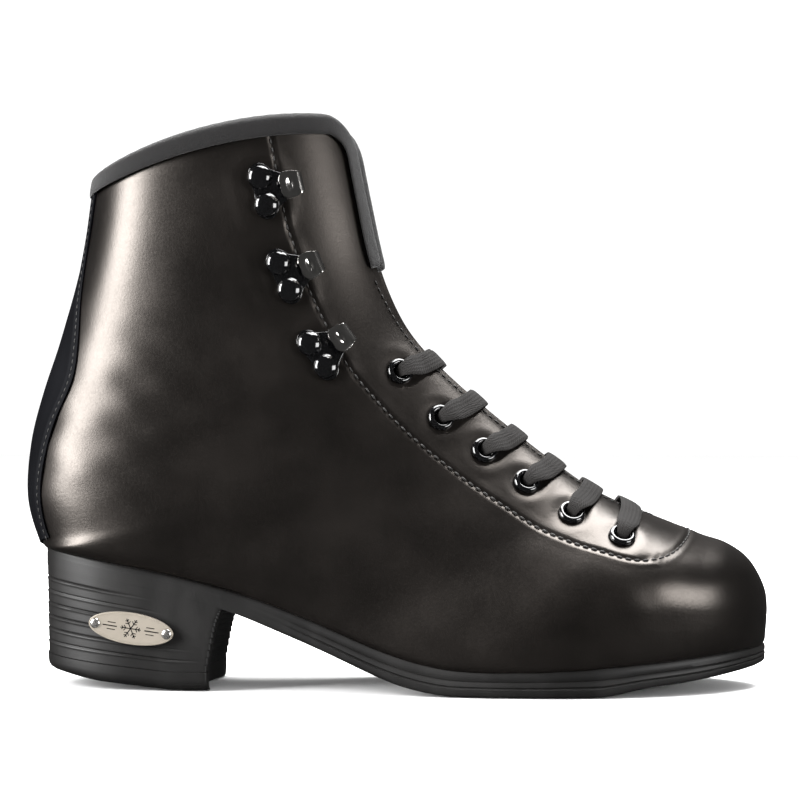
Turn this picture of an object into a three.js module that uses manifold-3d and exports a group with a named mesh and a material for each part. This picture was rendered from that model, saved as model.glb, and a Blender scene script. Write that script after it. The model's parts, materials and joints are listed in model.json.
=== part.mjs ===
// A lace-up figure-skating boot for the right foot, shown without its blade.
// Millimetres, +X to the toe, +Y to the inner (medial) side, +Z up. The sizes have their origin
// under the ankle, and the group is moved to put it under the middle of the boot's bounding box.
import * as THREE from "three";
import { mergeVertices } from "three/addons/utils/BufferGeometryUtils.js";
import Module from "manifold-3d";

const wasm = await Module();
wasm.setup();

// ---------------------------------------------------------------- driving dimensions
// Layers of the upper, as [outer, inner] depths below the outer leather's face.
const LEATHER = [0, 2];
const STIFFENER = [3, 3.8]; // counter, toe puff, eyelet strips and ankle pads
const LINING = [5.2, 6.7]; // lining with its thin foam
const BACKSTAY = [-1.8, -0.6]; // stitched over the leather at the back
const GAP = 0.4; // clearance between neighbouring pieces

// Stations count along the boot: 0 at the collar, HEEL at the back of the sole, TOE at the toe tip.
// A section runs from the front ridge, round one side, to the back seam or the sole's edge.
const HEEL = 7;
const TOE = 21;
const LATERAL = -1;
const MEDIAL = 1;
const SIDES = { lateral: LATERAL, medial: MEDIAL };

const FACING = 15; // from the ridge to the facing's edge, at the collar
const CORNER = { stations: 0.45, arc: 12 }; // rounding of the collar's front corners
const THROAT_END = 14.6; // station where the facings meet
const BINDING_END = 2.2; // station where the collar binding stops on the facing
const BINDING = { outside: -2.2, inside: 9.2, above: 3.4, below: 2.9, wall: 1.3 };

// Eyelet rows from the top, and hooks as rivets' and tab's places: [station, arc from the ridge].
const EYELET_ROWS = [[4.36, 32.8], [6.15, 34.5], [8.15, 33], [10.4, 33.5], [12.4, 34.8], [14.2, 37]];
const HOOK_ROWS = [
  { rivets: [[0.66, 55.6], [1.03, 54.7]], tab: [0.79, 43.8] },
  { rivets: [[1.9, 54.7], [2.36, 54.5]], tab: [1.97, 42.5] },
  { rivets: [[3.41, 57.3], [4.02, 58.6]], tab: [3.36, 44.5] },
];
const EYELET = { bore: 2.6, barrel: 3.1, flange: 5.15, rise: 1.5, clinch: 4, seat: 0.6, clinchAt: [7.4, 8] };
const RIVET = { shank: 1.3, dome: 4.7, rise: 2.6, head: 2.8, headAt: [4.1, 4.6] };
const HOOK = { thick: 1, half: 5, spine: 15.5, lift: 3.4, tab: 10 };

const LACE_WIDE = 8.6;
const LACE_THICK = 1.3;
const LACE_IN_EYELET = [3, 1.8]; // width and thickness where the lace bunches in an eyelet
const LACE_UNDER = 9.2; // depth of the lace's middle where it runs under the facing
const LACE_OVER = -1.5; // and where it lies on the leather
const AGLET = { radius: 1.9, length: 20 };

// The tongue is an arch under the ridge, half an oval in section.
const TONGUE = { under: 11.7, half: 20, deep: 24, thick: 4, hinge: 3.9, top: 0.1, sewn: 15.6 };
const TONGUE_SPREAD = (80 * Math.PI) / 180;

const BOARD = { rise: 2.2, thick: 2.4, inset: 7.5 };
const FOOTBED = { rise: 5.7, thick: 3.2, inset: 8.5 };
const SHANK = { rise: 0.4, thick: 1.4, wide: 14, from: -112, to: 6 };
const FILLER = { rise: 0.4, thick: 1.2, inset: 12 };
const SOLE_AT_HEEL = 6.4; // outsole's thickness over the heel
const HEEL_LIFT = 7; // wearing layer under the heel
const HEEL_BREAST = { top: -63, bottom: -70, hollow: 4.5 };
const HEEL_SLANT = { from: -86, slope: 0.115 }; // the heel's base rises towards the back
const HEEL_SCREW = { x: -104, shank: 2.2, head: 4.6, depth: 22 };
const BADGE = { x: -100, z: 23.5, long: 33, high: 12, thick: 1.2, tilt: (-8 * Math.PI) / 180 };
const BADGE_PIN = { spacing: 28, shank: 1, head: 1.9, depth: 5 };

// ---------------------------------------------------------------- curves
// A smooth curve through knots [place, value, value, ...], in order of place.
function track(...knots) {
  const slope = (i) => {
    const a = knots[Math.max(i - 1, 0)];
    const b = knots[Math.min(i + 1, knots.length - 1)];
    return a.map((v, k) => (b[k] - v) / (b[0] - a[0]));
  };
  const slopes = knots.map((_, i) => slope(i));
  return (place) => {
    let i = 0;
    while (i < knots.length - 2 && place > knots[i + 1][0]) i++;
    const [a, b] = [knots[i], knots[i + 1]];
    const h = b[0] - a[0];
    const t = (place - a[0]) / h;
    const [h00, h10] = [(1 + 2 * t) * (1 - t) ** 2, t * (1 - t) ** 2];
    const [h01, h11] = [t * t * (3 - 2 * t), t * t * (t - 1)];
    return a.slice(1).map((v, k) => {
      const rise = h10 * slopes[i][k + 1] + h11 * slopes[i + 1][k + 1];
      return h00 * v + h01 * b[k + 1] + h * rise;
    });
  };
}

// Front ridge in side view, as station, x, z: shin, instep and toe.
const ridge = track(
  [0, -16, 216], [1, -10, 187], [2, -4, 162], [3, 5, 141], [4, 16, 126.5], [6, 35, 108.5],
  [8, 50, 96], [10, 63, 86], [12, 76, 77], [14, 91, 68.5], [16, 108, 61.5], [17, 117, 58],
  [18, 126.5, 54.8], [19, 135, 48.5], [20, 141, 37.5], [21, 142.5, 26],
);
// Back seam in side view, as station, x, z: collar to the back of the sole.
const back = track(
  [0, -118.5, 193.5], [1, -121.5, 172], [2, -126, 152], [3, -131.5, 133], [4, -138, 113],
  [5, -143, 92], [6, -144, 71], [7, -138.5, 53.4],
);
// Height of the sole's upper edge along x.
const soleEdge = track(
  [-140, 53.6], [-115, 49], [-86, 43.4], [-61, 37], [-46, 32], [-27, 24.5], [-8, 16.8],
  [8, 11.8], [23, 9.2], [45, 8.8], [70, 9.6], [95, 11.4], [120, 13.6], [143, 16],
);
// Plan of the sole's edge, as x, y, on each side from the back of the heel to the toe tip.
const HEEL_BACK = [-138.5, 0];
const TOE_TIP = [141.5, 4];
const OUTLINE = {
  [LATERAL]: [
    [-132.5, 16], [-115, 27.5], [-89, 31], [-58, 32.5], [-26, 36], [4, 41.5], [34, 46], [60, 46.5],
    [83, 43], [103, 36], [119, 27], [131, 16.5], [138.8, 6],
  ],
  [MEDIAL]: [
    [-132.5, 16], [-115, 27.5], [-89, 29], [-58, 27], [-26, 26.5], [4, 32], [34, 40], [60, 45],
    [83, 45.5], [103, 41], [119, 33.5], [131, 24], [138.8, 14],
  ],
};
const outlineLoop = new THREE.CatmullRomCurve3(
  [
    HEEL_BACK,
    ...OUTLINE[LATERAL].map(([x, y]) => [x, -y]),
    TOE_TIP,
    ...OUTLINE[MEDIAL].toReversed(),
  ].map(([x, y]) => new THREE.Vector3(x, y, 0)),
  true,
  "catmullrom",
);
const LOOP = OUTLINE[LATERAL].length * 2 + 2;
// Point of the sole's edge at a station from HEEL to TOE, and its inward direction in plan.
function edgePoint(station, side) {
  const turn = (station - HEEL) / LOOP;
  const u = side === LATERAL ? turn : (1 - turn) % 1;
  const point = outlineLoop.getPoint(u);
  const ahead = outlineLoop.getTangent(u);
  return { x: point.x, y: point.y, inward: new THREE.Vector2(-ahead.y, ahead.x) };
}

// Half widths of the sections on the lateral and medial sides.
const widest = track(
  [0, 33.5, 33.5], [2, 33.5, 33.5], [4, 36, 35.5], [6, 37.5, 36.5], [8, 38, 37], [10, 38, 36],
  [12, 40.5, 35.5], [13, 44.5, 38.5], [14, 48, 42], [15, 48.5, 45.5], [16, 45.5, 46.5],
  [17, 39, 43.5], [18, 30.5, 37.5], [19, 19.5, 28.5], [20, 6.5, 15.5], [21, -4, 4],
);
// Where a section is widest, as a share of its length, and how square it is above and below.
const form = track(
  [0, 0.5, 2.15, 2.2], [3, 0.54, 2.25, 2.2], [5, 0.6, 2.45, 2.4], [7, 0.64, 2.55, 2.6],
  [10, 0.66, 2.6, 2.6], [12, 0.66, 2.5, 2.3], [14, 0.62, 2.3, 2.2], [17, 0.6, 2.2, 2.2],
  [21, 0.55, 2.1, 2.2],
);
const COLLAR_BOW = 6.5; // rise of the collar line above a straight one
// The ridge leans to the medial side as it nears the toe tip.
const lean = (station) => TOE_TIP[1] * (Math.max(0, station - 12) / (TOE - 12)) ** 2;

// ---------------------------------------------------------------- the last: the boot's surface
const STEPS = 28;
const sections = new Map();
// One section on the outer leather, as a polyline with its running length.
function section(station, side) {
  const key = `${station}/${side}`;
  if (sections.has(key)) return sections.get(key);
  const [fx, fz] = ridge(station);
  let end;
  if (station <= HEEL) {
    const [x, z] = back(station);
    end = { x, y: 0, z };
  } else {
    const { x, y } = edgePoint(station, side);
    end = { x, y, z: soleEdge(x)[0] };
  }
  const [at, top, low] = form(station);
  const middle = lean(station);
  const half = Math.max(widest(station)[side === LATERAL ? 0 : 1] - side * middle, 0);
  const closeHalf = Math.max(side * (end.y - middle), 0);
  const bow = COLLAR_BOW * Math.max(0, 1 - station / 3) ** 2;
  const points = [];
  for (let k = 0; k <= 2 * STEPS; k++) {
    const upper = k <= STEPS;
    const angle = ((upper ? k : k - STEPS) / STEPS) * (Math.PI / 2);
    const [sin, cos] = [Math.sin(angle), Math.cos(angle)];
    const share = upper ? at * (1 - cos ** (2 / top)) : at + (1 - at) * sin ** (2 / low);
    const out = upper
      ? half * sin ** (2 / top)
      : closeHalf + (half - closeHalf) * cos ** (2 / low);
    points.push(
      new THREE.Vector3(
        fx + (end.x - fx) * share,
        middle + side * out,
        fz + (end.z - fz) * share + bow * 4 * share * (1 - share),
      ),
    );
  }
  const run = [0];
  for (let k = 1; k < points.length; k++)
    run.push(run[k - 1] + points[k].distanceTo(points[k - 1]));
  const made = { points, run, length: run.at(-1) };
  sections.set(key, made);
  return made;
}
const girth = (station, side) => section(station, side).length;

// Point at a share of a section. Past the ridge, the back seam or the toe tip it goes on round
// the other side, and at the sole's edge and the collar it stops.
function skin(station, side, share) {
  if (station > TOE) return skin(2 * TOE - station, -side, share);
  if (share < 0) return skin(station, -side, -share);
  if (share > 1) return station <= HEEL ? skin(station, -side, 2 - share) : skin(station, side, 1);
  const { points, run, length } = section(Math.max(station, 0), side);
  const goal = share * length;
  let k = 1;
  while (k < run.length - 1 && run[k] < goal) k++;
  const t = (goal - run[k - 1]) / (run[k] - run[k - 1]);
  return points[k - 1].clone().lerp(points[k], t);
}
// Point and outward normal at an arc distance from the ridge.
function faceAt(station, side, arc) {
  const share = Math.min(arc / girth(station, side), 1);
  const [around, along] = [0.014, 0.2];
  // Both sides are one line at the toe tip, so its top is taken from just below.
  const tip = station > TOE - along && share < around;
  const [low, level] = tip ? [0, around] : [share - around, share];
  const down = skin(station, side, share + around).sub(skin(station, side, low));
  const ahead = skin(station + along, side, level).sub(skin(station - along, side, level));
  const normal = down.cross(ahead).multiplyScalar(-side).normalize();
  return { point: skin(station, side, share), normal, ahead: ahead.normalize() };
}
// Point at an arc distance from the ridge, a depth below the outer face.
function onLast(station, side, arc, depth = 0) {
  const { point, normal } = faceAt(station, side, arc);
  return point.addScaledVector(normal, -depth);
}
// The facing's edge, as its arc from the ridge: rounded at the collar, closing at the throat's end.
const facingLine = track([0, FACING], [3, FACING], [5, 14], [7, 12.8], [12.6, 12.8], [13.6, 10.5], [14.2, 6]);
function facing(station) {
  if (station >= THROAT_END) return 0;
  if (station > 14.2) return 6 * Math.sqrt((THROAT_END - station) / (THROAT_END - 14.2));
  const turn = Math.max(0, 1 - station / CORNER.stations);
  return facingLine(station)[0] + CORNER.arc * (1 - Math.sqrt(1 - turn * turn));
}

// ---------------------------------------------------------------- solids
const mix = THREE.MathUtils.lerp;
const steps = (from, to, count) => Array.from({ length: count + 1 }, (_, i) => mix(from, to, i / count));
// Shares from 0 to 1, closer together at both ends.
const easedShares = (count) =>
  steps(0, 1, count).map((t) => t - (0.4 * Math.sin(2 * Math.PI * t)) / (2 * Math.PI));

const WELD = 50; // points of a net closer than 1 / WELD mm are one point
function geometryOf(points, faces) {
  const geometry = new THREE.BufferGeometry().setFromPoints(points);
  geometry.setIndex(faces.flat());
  return geometry;
}
// A closed solid through layers of points that share one net of faces: the first layer faces out,
// the last is its back, and walls join the layers along the net's open edges.
function solidBetween(layers, faces) {
  const seen = new Map();
  const first = layers[0].map((p, i) => {
    const key = p.toArray().map((v) => Math.round(v * WELD)).join();
    if (!seen.has(key)) seen.set(key, i);
    return seen.get(key);
  });
  const net = faces
    .map((face) => face.map((i) => first[i]))
    .filter(([a, b, c]) => a !== b && b !== c && c !== a);
  const size = layers[0].length;
  const last = (layers.length - 1) * size;
  const out = [...net, ...net.map(([a, b, c]) => [a + last, c + last, b + last])];
  const edges = new Set(net.flatMap(([a, b, c]) => [`${a} ${b}`, `${b} ${c}`, `${c} ${a}`]));
  for (const edge of edges) {
    const [a, b] = edge.split(" ").map(Number);
    if (edges.has(`${b} ${a}`)) continue;
    for (let low = 0; low < last; low += size)
      out.push([b + low, a + low, a + low + size], [b + low, a + low + size, b + low + size]);
  }
  return geometryOf(layers.flat(), out);
}
// Faces of a grid of rows by columns whose points start at an index, turned over if asked.
function gridFaces(rows, columns, start = 0, turned = false) {
  const faces = [];
  for (let i = 0; i < rows - 1; i++)
    for (let j = 0; j < columns - 1; j++) {
      const a = start + i * columns + j;
      const quad = [[a, a + 1, a + columns], [a + 1, a + columns + 1, a + columns]];
      faces.push(...(turned ? quad.map(([p, q, r]) => [p, r, q]) : quad));
    }
  return faces;
}
// A panel of the upper: a sheet over stations and arcs, between two depths.
function panel({ sides, stations, from, to, across, depths }) {
  const layers = depths.map(() => []);
  const faces = [];
  for (const side of sides) {
    faces.push(...gridFaces(stations.length, across + 1, layers[0].length, side === MEDIAL));
    for (const station of stations)
      for (const share of easedShares(across)) {
        const arc = mix(from(station, side), to(station, side), share);
        layers.forEach((layer, k) => layer.push(onLast(station, side, arc, depths[k])));
      }
  }
  return solidBetween(layers, faces);
}

// A closed geometry as a solid for cuts and joins, and back.
function solidOf(geometry, matrix = new THREE.Matrix4()) {
  const bare = new THREE.BufferGeometry().setAttribute("position", geometry.attributes.position.clone());
  bare.setIndex(geometry.index);
  const merged = mergeVertices(bare.applyMatrix4(matrix), 1e-3);
  const index = merged.index.array;
  const triVerts = [];
  for (let i = 0; i < index.length; i += 3) {
    const [a, b, c] = index.slice(i, i + 3);
    if (a !== b && b !== c && c !== a) triVerts.push(a, b, c);
  }
  return new wasm.Manifold(
    new wasm.Mesh({
      numProp: 3,
      vertProperties: merged.attributes.position.array,
      triVerts: new Uint32Array(triVerts),
    }),
  );
}
function geometryFrom(solid) {
  const { vertProperties, triVerts } = solid.getMesh();
  return new THREE.BufferGeometry()
    .setAttribute("position", new THREE.BufferAttribute(vertProperties, 3))
    .setIndex(new THREE.BufferAttribute(triVerts, 1));
}
const cut = (geometry, cutters) =>
  geometryFrom(cutters.reduce((solid, cutter) => solid.subtract(cutter), solidOf(geometry)));

// A turned piece about +Z, from [radius, height] points of a closed profile.
function turned(profile, segments = 8) {
  const points = [...profile, profile[0]].map(([r, z]) => new THREE.Vector2(r, z));
  return new THREE.LatheGeometry(points, segments).rotateX(Math.PI / 2);
}
// A frame on the upper: +Z out of the leather, +X along the boot towards the toe or the aim.
function frameOn(station, side, arc, aim = null) {
  const { point, normal, ahead } = faceAt(station, side, arc);
  const x = (aim ? aim.clone().sub(point) : ahead).projectOnPlane(normal).normalize();
  const y = normal.clone().cross(x);
  return new THREE.Matrix4().makeBasis(x, y, normal).setPosition(point);
}
// A round cutter along a frame's Z, from one height to another.
function drill(frame, radius, from, to) {
  const rod = new THREE.CylinderGeometry(radius, radius, to - from, 6);
  rod.rotateX(Math.PI / 2).translate(0, 0, (from + to) / 2);
  return solidOf(rod, frame);
}

// ---------------------------------------------------------------- looks
const finish = (color, roughness, metalness = 0) =>
  new THREE.MeshStandardMaterial({ color, roughness, metalness });
const BLACK_LEATHER = finish(0x151414, 0.42);
const BACKSTAY_LEATHER = finish(0x15161c, 0.4);
const SUEDE = finish(0x1b1a1a, 0.95);
const LINING_CLOTH = finish(0x1c1b1d, 0.9);
const FIBREBOARD = finish(0x7a6248, 0.9);
const CORK = finish(0xa07c52, 0.95);
const LACE_BRAID = finish(0x111113, 0.85);
const SOLE_RUBBER = finish(0x1e1f20, 0.7);
const BLACK_METAL = finish(0x0c0c0d, 0.25, 0.6);
const HOOK_METAL = finish(0x35363a, 0.25, 1);
const STEEL = finish(0xb9bcc0, 0.2, 1);

const CENTRE = { x: -1.8, y: -1.17 }; // middle of the bounding box, in the sizes above
const boot = new THREE.Group();
boot.position.set(-CENTRE.x, -CENTRE.y, 0);
function add(group, name, geometry, material, frame = new THREE.Matrix4()) {
  const mesh = new THREE.Mesh(geometry, material);
  mesh.name = name;
  mesh.applyMatrix4(frame);
  group.add(mesh);
}
function subAssembly() {
  const group = new THREE.Group();
  boot.add(group);
  return group;
}

// ---------------------------------------------------------------- places of the hardware
const named = Object.entries(SIDES);
const eyelets = named.flatMap(([sideName, side]) =>
  EYELET_ROWS.map(([station, arc], row) => ({
    name: `eyelet_${sideName}_${row + 1}`,
    frame: frameOn(station, side, arc),
  })),
);
const hooks = named.flatMap(([sideName, side]) =>
  HOOK_ROWS.map(({ rivets, tab }, row) => {
    const tip = onLast(tab[0], side, tab[1]);
    const ends = rivets.map(([station, arc]) => onLast(station, side, arc));
    const middle = rivets[0].map((v, k) => (v + rivets[1][k]) / 2);
    const frame = frameOn(middle[0], side, middle[1], tip);
    const spread = ends[0].distanceTo(ends[1]) / 2;
    return { name: `hook_${sideName}_${row + 1}`, frame, spread };
  }),
);
const rivets = hooks.flatMap(({ name, frame, spread }) =>
  [spread, -spread].map((y, k) => ({
    name: `${name}_rivet_${k + 1}`,
    frame: frame.clone().multiply(new THREE.Matrix4().makeTranslation(0, y, 0)),
  })),
);
const eyeletHoles = eyelets.map(({ frame }) => drill(frame, EYELET.barrel * 1.3, -10, 3));
const rivetHoles = rivets.map(({ frame }) => drill(frame, RIVET.shank * 1.5, -4.6, 3));

// ---------------------------------------------------------------- the upper
const upper = subAssembly();
const BOTH = [LATERAL, MEDIAL];
const quarterStations = [0, 0.06, 0.17, 0.45, ...steps(1, 7, 8), ...steps(7.8, 13.4, 6)];
const toeStations = steps(15.4, 21, 8);
const upperStations = [...quarterStations, 14.2, 14.5, THROAT_END, ...toeStations];
add(
  upper,
  "upper_leather",
  cut(
    panel({ sides: BOTH, stations: upperStations, from: facing, to: girth, across: 12, depths: LEATHER }),
    [...eyeletHoles, ...rivetHoles],
  ),
  BLACK_LEATHER,
);
// Lining of the shaft and quarters, open at the throat, and of the vamp.
const liningEdge = (station) => facing(station) + 0.8;
const aboveSole = (station, side, gap = 6) => girth(station, side) - (station > HEEL ? gap : 0);
add(
  upper,
  "quarter_lining",
  cut(
    panel({
      sides: BOTH,
      stations: quarterStations,
      from: liningEdge,
      to: aboveSole,
      across: 10,
      depths: LINING,
    }),
    eyeletHoles,
  ),
  LINING_CLOTH,
);
add(
  upper,
  "vamp_lining",
  panel({
    sides: BOTH,
    stations: [14.7, ...toeStations],
    from: () => 0,
    to: aboveSole,
    across: 8,
    depths: LINING,
  }),
  LINING_CLOTH,
);
add(
  upper,
  "toe_puff",
  panel({
    sides: BOTH,
    stations: toeStations.slice(2),
    from: () => 0,
    to: aboveSole,
    across: 8,
    depths: STIFFENER,
  }),
  FIBREBOARD,
);
// The counter reaches from the sole's edge or the back seam to this arc.
const counterReach = track([3.2, 12], [4.2, 50], [5.5, 80], [7, 88], [9, 66], [11, 48], [13.4, 22]);
add(
  upper,
  "heel_counter",
  panel({
    sides: BOTH,
    stations: quarterStations.filter((station) => station > 3.2),
    from: (station, side) => girth(station, side) - counterReach(station)[0],
    to: (station, side) => aboveSole(station, side, 9),
    across: 10,
    depths: STIFFENER,
  }),
  FIBREBOARD,
);
const backstayHalf = track(
  [0, 12], [1, 10.5], [2, 15], [3, 23], [3.8, 28.5], [4.6, 26.5], [5.5, 24.5], [7, 21.5],
);
add(
  upper,
  "backstay",
  panel({
    sides: BOTH,
    stations: steps(0.16, 7, 11),
    from: (station, side) => girth(station, side) - backstayHalf(station)[0],
    to: girth,
    across: 4,
    depths: BACKSTAY,
  }),
  BACKSTAY_LEATHER,
);
const stripBack = track([0.2, 62], [4, 63], [5, 47.5], [14, 46]);
for (const [sideName, side] of named) {
  add(
    upper,
    `eyelet_strip_${sideName}`,
    cut(
      panel({
        sides: [side],
        stations: [...quarterStations.slice(2), 14.1],
        from: (station) => facing(station) + 1,
        to: (station) => stripBack(station)[0],
        across: 4,
        depths: STIFFENER,
      }),
      [...eyeletHoles, ...rivetHoles],
    ),
    BLACK_LEATHER,
  );
  add(
    upper,
    `ankle_pad_${sideName}`,
    panel({
      sides: [side],
      stations: steps(0.6, 3, 5),
      from: () => 68,
      to: (station) => girth(station, side) - 18,
      across: 5,
      depths: STIFFENER,
    }),
    LINING_CLOTH,
  );
}

// The binding is a channel bent over the edge of the leather and its lining.
function bindingPath() {
  const oneSide = (side) => {
    const corner = steps(0, Math.PI / 2, 4).map((a) => [
      CORNER.stations * (1 - Math.sin(a)),
      FACING + CORNER.arc * (1 - Math.cos(a)),
    ]);
    const collar = steps(FACING + CORNER.arc, girth(0, side), 12).slice(1).map((arc) => [0, arc]);
    const front = steps(BINDING_END, CORNER.stations, 3).slice(0, -1).map((station) => [station, FACING]);
    return [...front, ...corner, ...collar].map(([station, arc]) => faceAt(station, side, arc));
  };
  return [...oneSide(LATERAL), ...oneSide(MEDIAL).toReversed().slice(1)];
}
function channel(path, { outside, inside, above, below, wall }) {
  const [middle, half] = [(outside + inside) / 2, (inside - outside) / 2];
  const arch = (reach, top) =>
    steps(0, Math.PI, 4).map((a) => [middle - reach * Math.cos(a), top * Math.sin(a) ** 0.8]);
  // Points are [depth, height over the edge].
  const profile = [
    [outside, -below],
    ...arch(half, above),
    [inside, -below],
    [inside - wall, -below],
    ...arch(half - wall, GAP + 0.3).toReversed(),
    [outside + wall, -below],
  ];
  const rows = path.map(({ point, normal }, i) => {
    const ahead = path[Math.min(i + 1, path.length - 1)].point.clone();
    ahead.sub(path[Math.max(i - 1, 0)].point).normalize();
    const out = ahead.clone().cross(normal).normalize();
    return profile.map(([depth, height]) =>
      point.clone().addScaledVector(normal, -depth).addScaledVector(out, height),
    );
  });
  return loft(rows);
}
// A closed solid through rings of points, with flat-fan ends.
function loft(rings) {
  const count = rings[0].length;
  const faces = [];
  for (let i = 0; i < rings.length - 1; i++)
    for (let j = 0; j < count; j++) {
      const [a, b] = [i * count + j, i * count + ((j + 1) % count)];
      faces.push([a, b, a + count], [b, b + count, a + count]);
    }
  const end = (ring, start, flip) => {
    const x = ring[1].clone().sub(ring[0]).normalize();
    const normal = new THREE.Vector3();
    ring.forEach((p, j) => normal.add(p.clone().cross(ring[(j + 1) % count])));
    const y = normal.normalize().clone().cross(x);
    const flat = ring.map((p) => new THREE.Vector2(p.dot(x), p.dot(y)));
    for (const [a, b, c] of THREE.ShapeUtils.triangulateShape(flat, []))
      faces.push((flip ? [c, b, a] : [a, b, c]).map((j) => start + j));
  };
  end(rings[0], 0, true);
  end(rings.at(-1), (rings.length - 1) * count, false);
  return outward(geometryOf(rings.flat(), faces));
}
// Turns a closed geometry's faces outwards if they point in.
function outward(geometry) {
  const { array } = geometry.attributes.position;
  const index = geometry.index.array;
  const corner = (i) => new THREE.Vector3().fromArray(array, index[i] * 3);
  let volume = 0;
  for (let i = 0; i < index.length; i += 3) volume += corner(i).dot(corner(i + 1).cross(corner(i + 2)));
  if (volume > 0) return geometry;
  const flipped = Array.from(index).toReversed();
  geometry.setIndex(flipped);
  return geometry;
}
add(upper, "collar_binding", channel(bindingPath(), BINDING), SUEDE);

// ---------------------------------------------------------------- the tongue
// Its arch bends round an axis below the ridge. The upper part tilts on the lower one.
function tongueArch(station, angle, inset) {
  const { point, normal } = faceAt(station, LATERAL, 0);
  const sink = TONGUE.under + TONGUE.deep - (TONGUE.deep - inset) * Math.cos(angle);
  point.addScaledVector(normal, -sink);
  point.y += (TONGUE.half - inset) * Math.sin(angle);
  return point;
}
function tonguePart(stations, spread) {
  const angles = steps(-1, 1, 8);
  const layers = [0, TONGUE.thick].map((inset) =>
    stations.flatMap((station) => angles.map((a) => tongueArch(station, a * spread(station), inset))),
  );
  return solidBetween(layers, gridFaces(stations.length, angles.length, 0, true));
}
const spreadAt = track(
  [0, TONGUE_SPREAD], [6, TONGUE_SPREAD * 0.95], [11, TONGUE_SPREAD * 0.72], [15.6, 0.65],
);
const tongue = subAssembly();
const tongueSpread = (station) => spreadAt(station)[0];
const lowerTongue = tonguePart(steps(TONGUE.hinge + 0.04, TONGUE.sewn, 12), tongueSpread);
const upperTongue = tonguePart(steps(TONGUE.top, TONGUE.hinge, 6), tongueSpread);
add(tongue, "tongue_lower", lowerTongue, BLACK_LEATHER);
add(tongue, "tongue_upper", upperTongue, BLACK_LEATHER);

// ---------------------------------------------------------------- the bottom
// Height of the outsole's underside along x: heel seat, waist, flat tread and toe spring.
const soleUnder = track(
  [-142, 53.4 - SOLE_AT_HEEL], [-115, 49 - SOLE_AT_HEEL], [-86, 43.4 - SOLE_AT_HEEL], [-61, 29.5],
  [-47, 24], [-28, 16], [-9, 7.6], [1, 3.8], [10, 1.5], [20, 0], [30, 0], [70, 0], [78, 0], [93, 2.8],
  [114, 5.2], [135, 8.3], [143, 10],
);
const underside = (x) => (x >= 20 && x <= 78 ? 0 : soleUnder(x)[0]);
const insideX = (x, inset) => THREE.MathUtils.clamp(x, HEEL_BACK[0] + inset, TOE_TIP[0] - inset);
// The sole's edge at a station, set in by a distance.
function edgeIn(station, side, inset) {
  const { x, y, inward } = edgePoint(station, side);
  return new THREE.Vector2(insideX(x + inward.x * inset, inset), y + inward.y * inset);
}
// A slab with the sole's outline between two heights over x.
function slab({ stations, inset, top, under, across = 4 }) {
  const rows = stations.map((station) => [LATERAL, MEDIAL].map((side) => edgeIn(station, side, inset)));
  const plan = rows.flatMap(([a, b]) => steps(0, 1, across).map((t) => a.clone().lerp(b, t)));
  const layers = [top, under].map((height) => plan.map(({ x, y }) => new THREE.Vector3(x, y, height(x))));
  return solidBetween(layers, gridFaces(stations.length, across + 1, 0, true));
}
const overSole = (rise) => (x) => soleEdge(x)[0] + rise;
const bottom = subAssembly();
const screwHole = (radius, from, to) =>
  drill(new THREE.Matrix4().makeTranslation(HEEL_SCREW.x, 0, 0), radius, from, to);
const screwTop = soleEdge(HEEL_SCREW.x)[0] + BOARD.rise + BOARD.thick;
const soleStations = [7, 7.25, 7.6, ...steps(8, 20, 20), 20.4, 20.75, 21];
add(
  bottom,
  "outsole",
  cut(slab({ stations: soleStations, inset: 0, top: overSole(-GAP), under: underside }), [
    screwHole(HEEL_SCREW.shank * 1.4, 0, screwTop),
  ]),
  SOLE_RUBBER,
);
add(
  bottom,
  "insole_board",
  cut(
    slab({
      stations: soleStations,
      inset: BOARD.inset,
      top: overSole(BOARD.rise + BOARD.thick),
      under: overSole(BOARD.rise),
    }),
    [screwHole(HEEL_SCREW.shank * 1.4, 0, 80), screwHole(HEEL_SCREW.head * 1.3, screwTop - 1.6, 80)],
  ),
  FIBREBOARD,
);
add(
  bottom,
  "footbed",
  slab({
    stations: soleStations,
    inset: FOOTBED.inset,
    top: overSole(FOOTBED.rise + FOOTBED.thick),
    under: overSole(FOOTBED.rise),
  }),
  LINING_CLOTH,
);
// A strip along the middle of the sole, between two places and two heights over it.
function strip({ from, to, wide, rise, thick, count }) {
  const plan = steps(from, to, count).flatMap((x) => [[x, -wide / 2], [x, wide / 2]]);
  const layers = [rise + thick, rise].map((over) =>
    plan.map(([x, y]) => new THREE.Vector3(x, y, soleEdge(x)[0] + over)),
  );
  return solidBetween(layers, gridFaces(count + 1, 2, 0, true));
}
add(bottom, "shank", cut(strip({ ...SHANK, count: 12 }), [screwHole(HEEL_SCREW.shank * 1.4, 0, 80)]), STEEL);
const fillerStations = soleStations.filter((station) => station > 13.5 && station < 18.2);
add(
  bottom,
  "cork_filler",
  slab({
    stations: fillerStations,
    inset: FILLER.inset,
    top: overSole(FILLER.rise + FILLER.thick),
    under: overSole(FILLER.rise),
  }),
  CORK,
);
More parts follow.
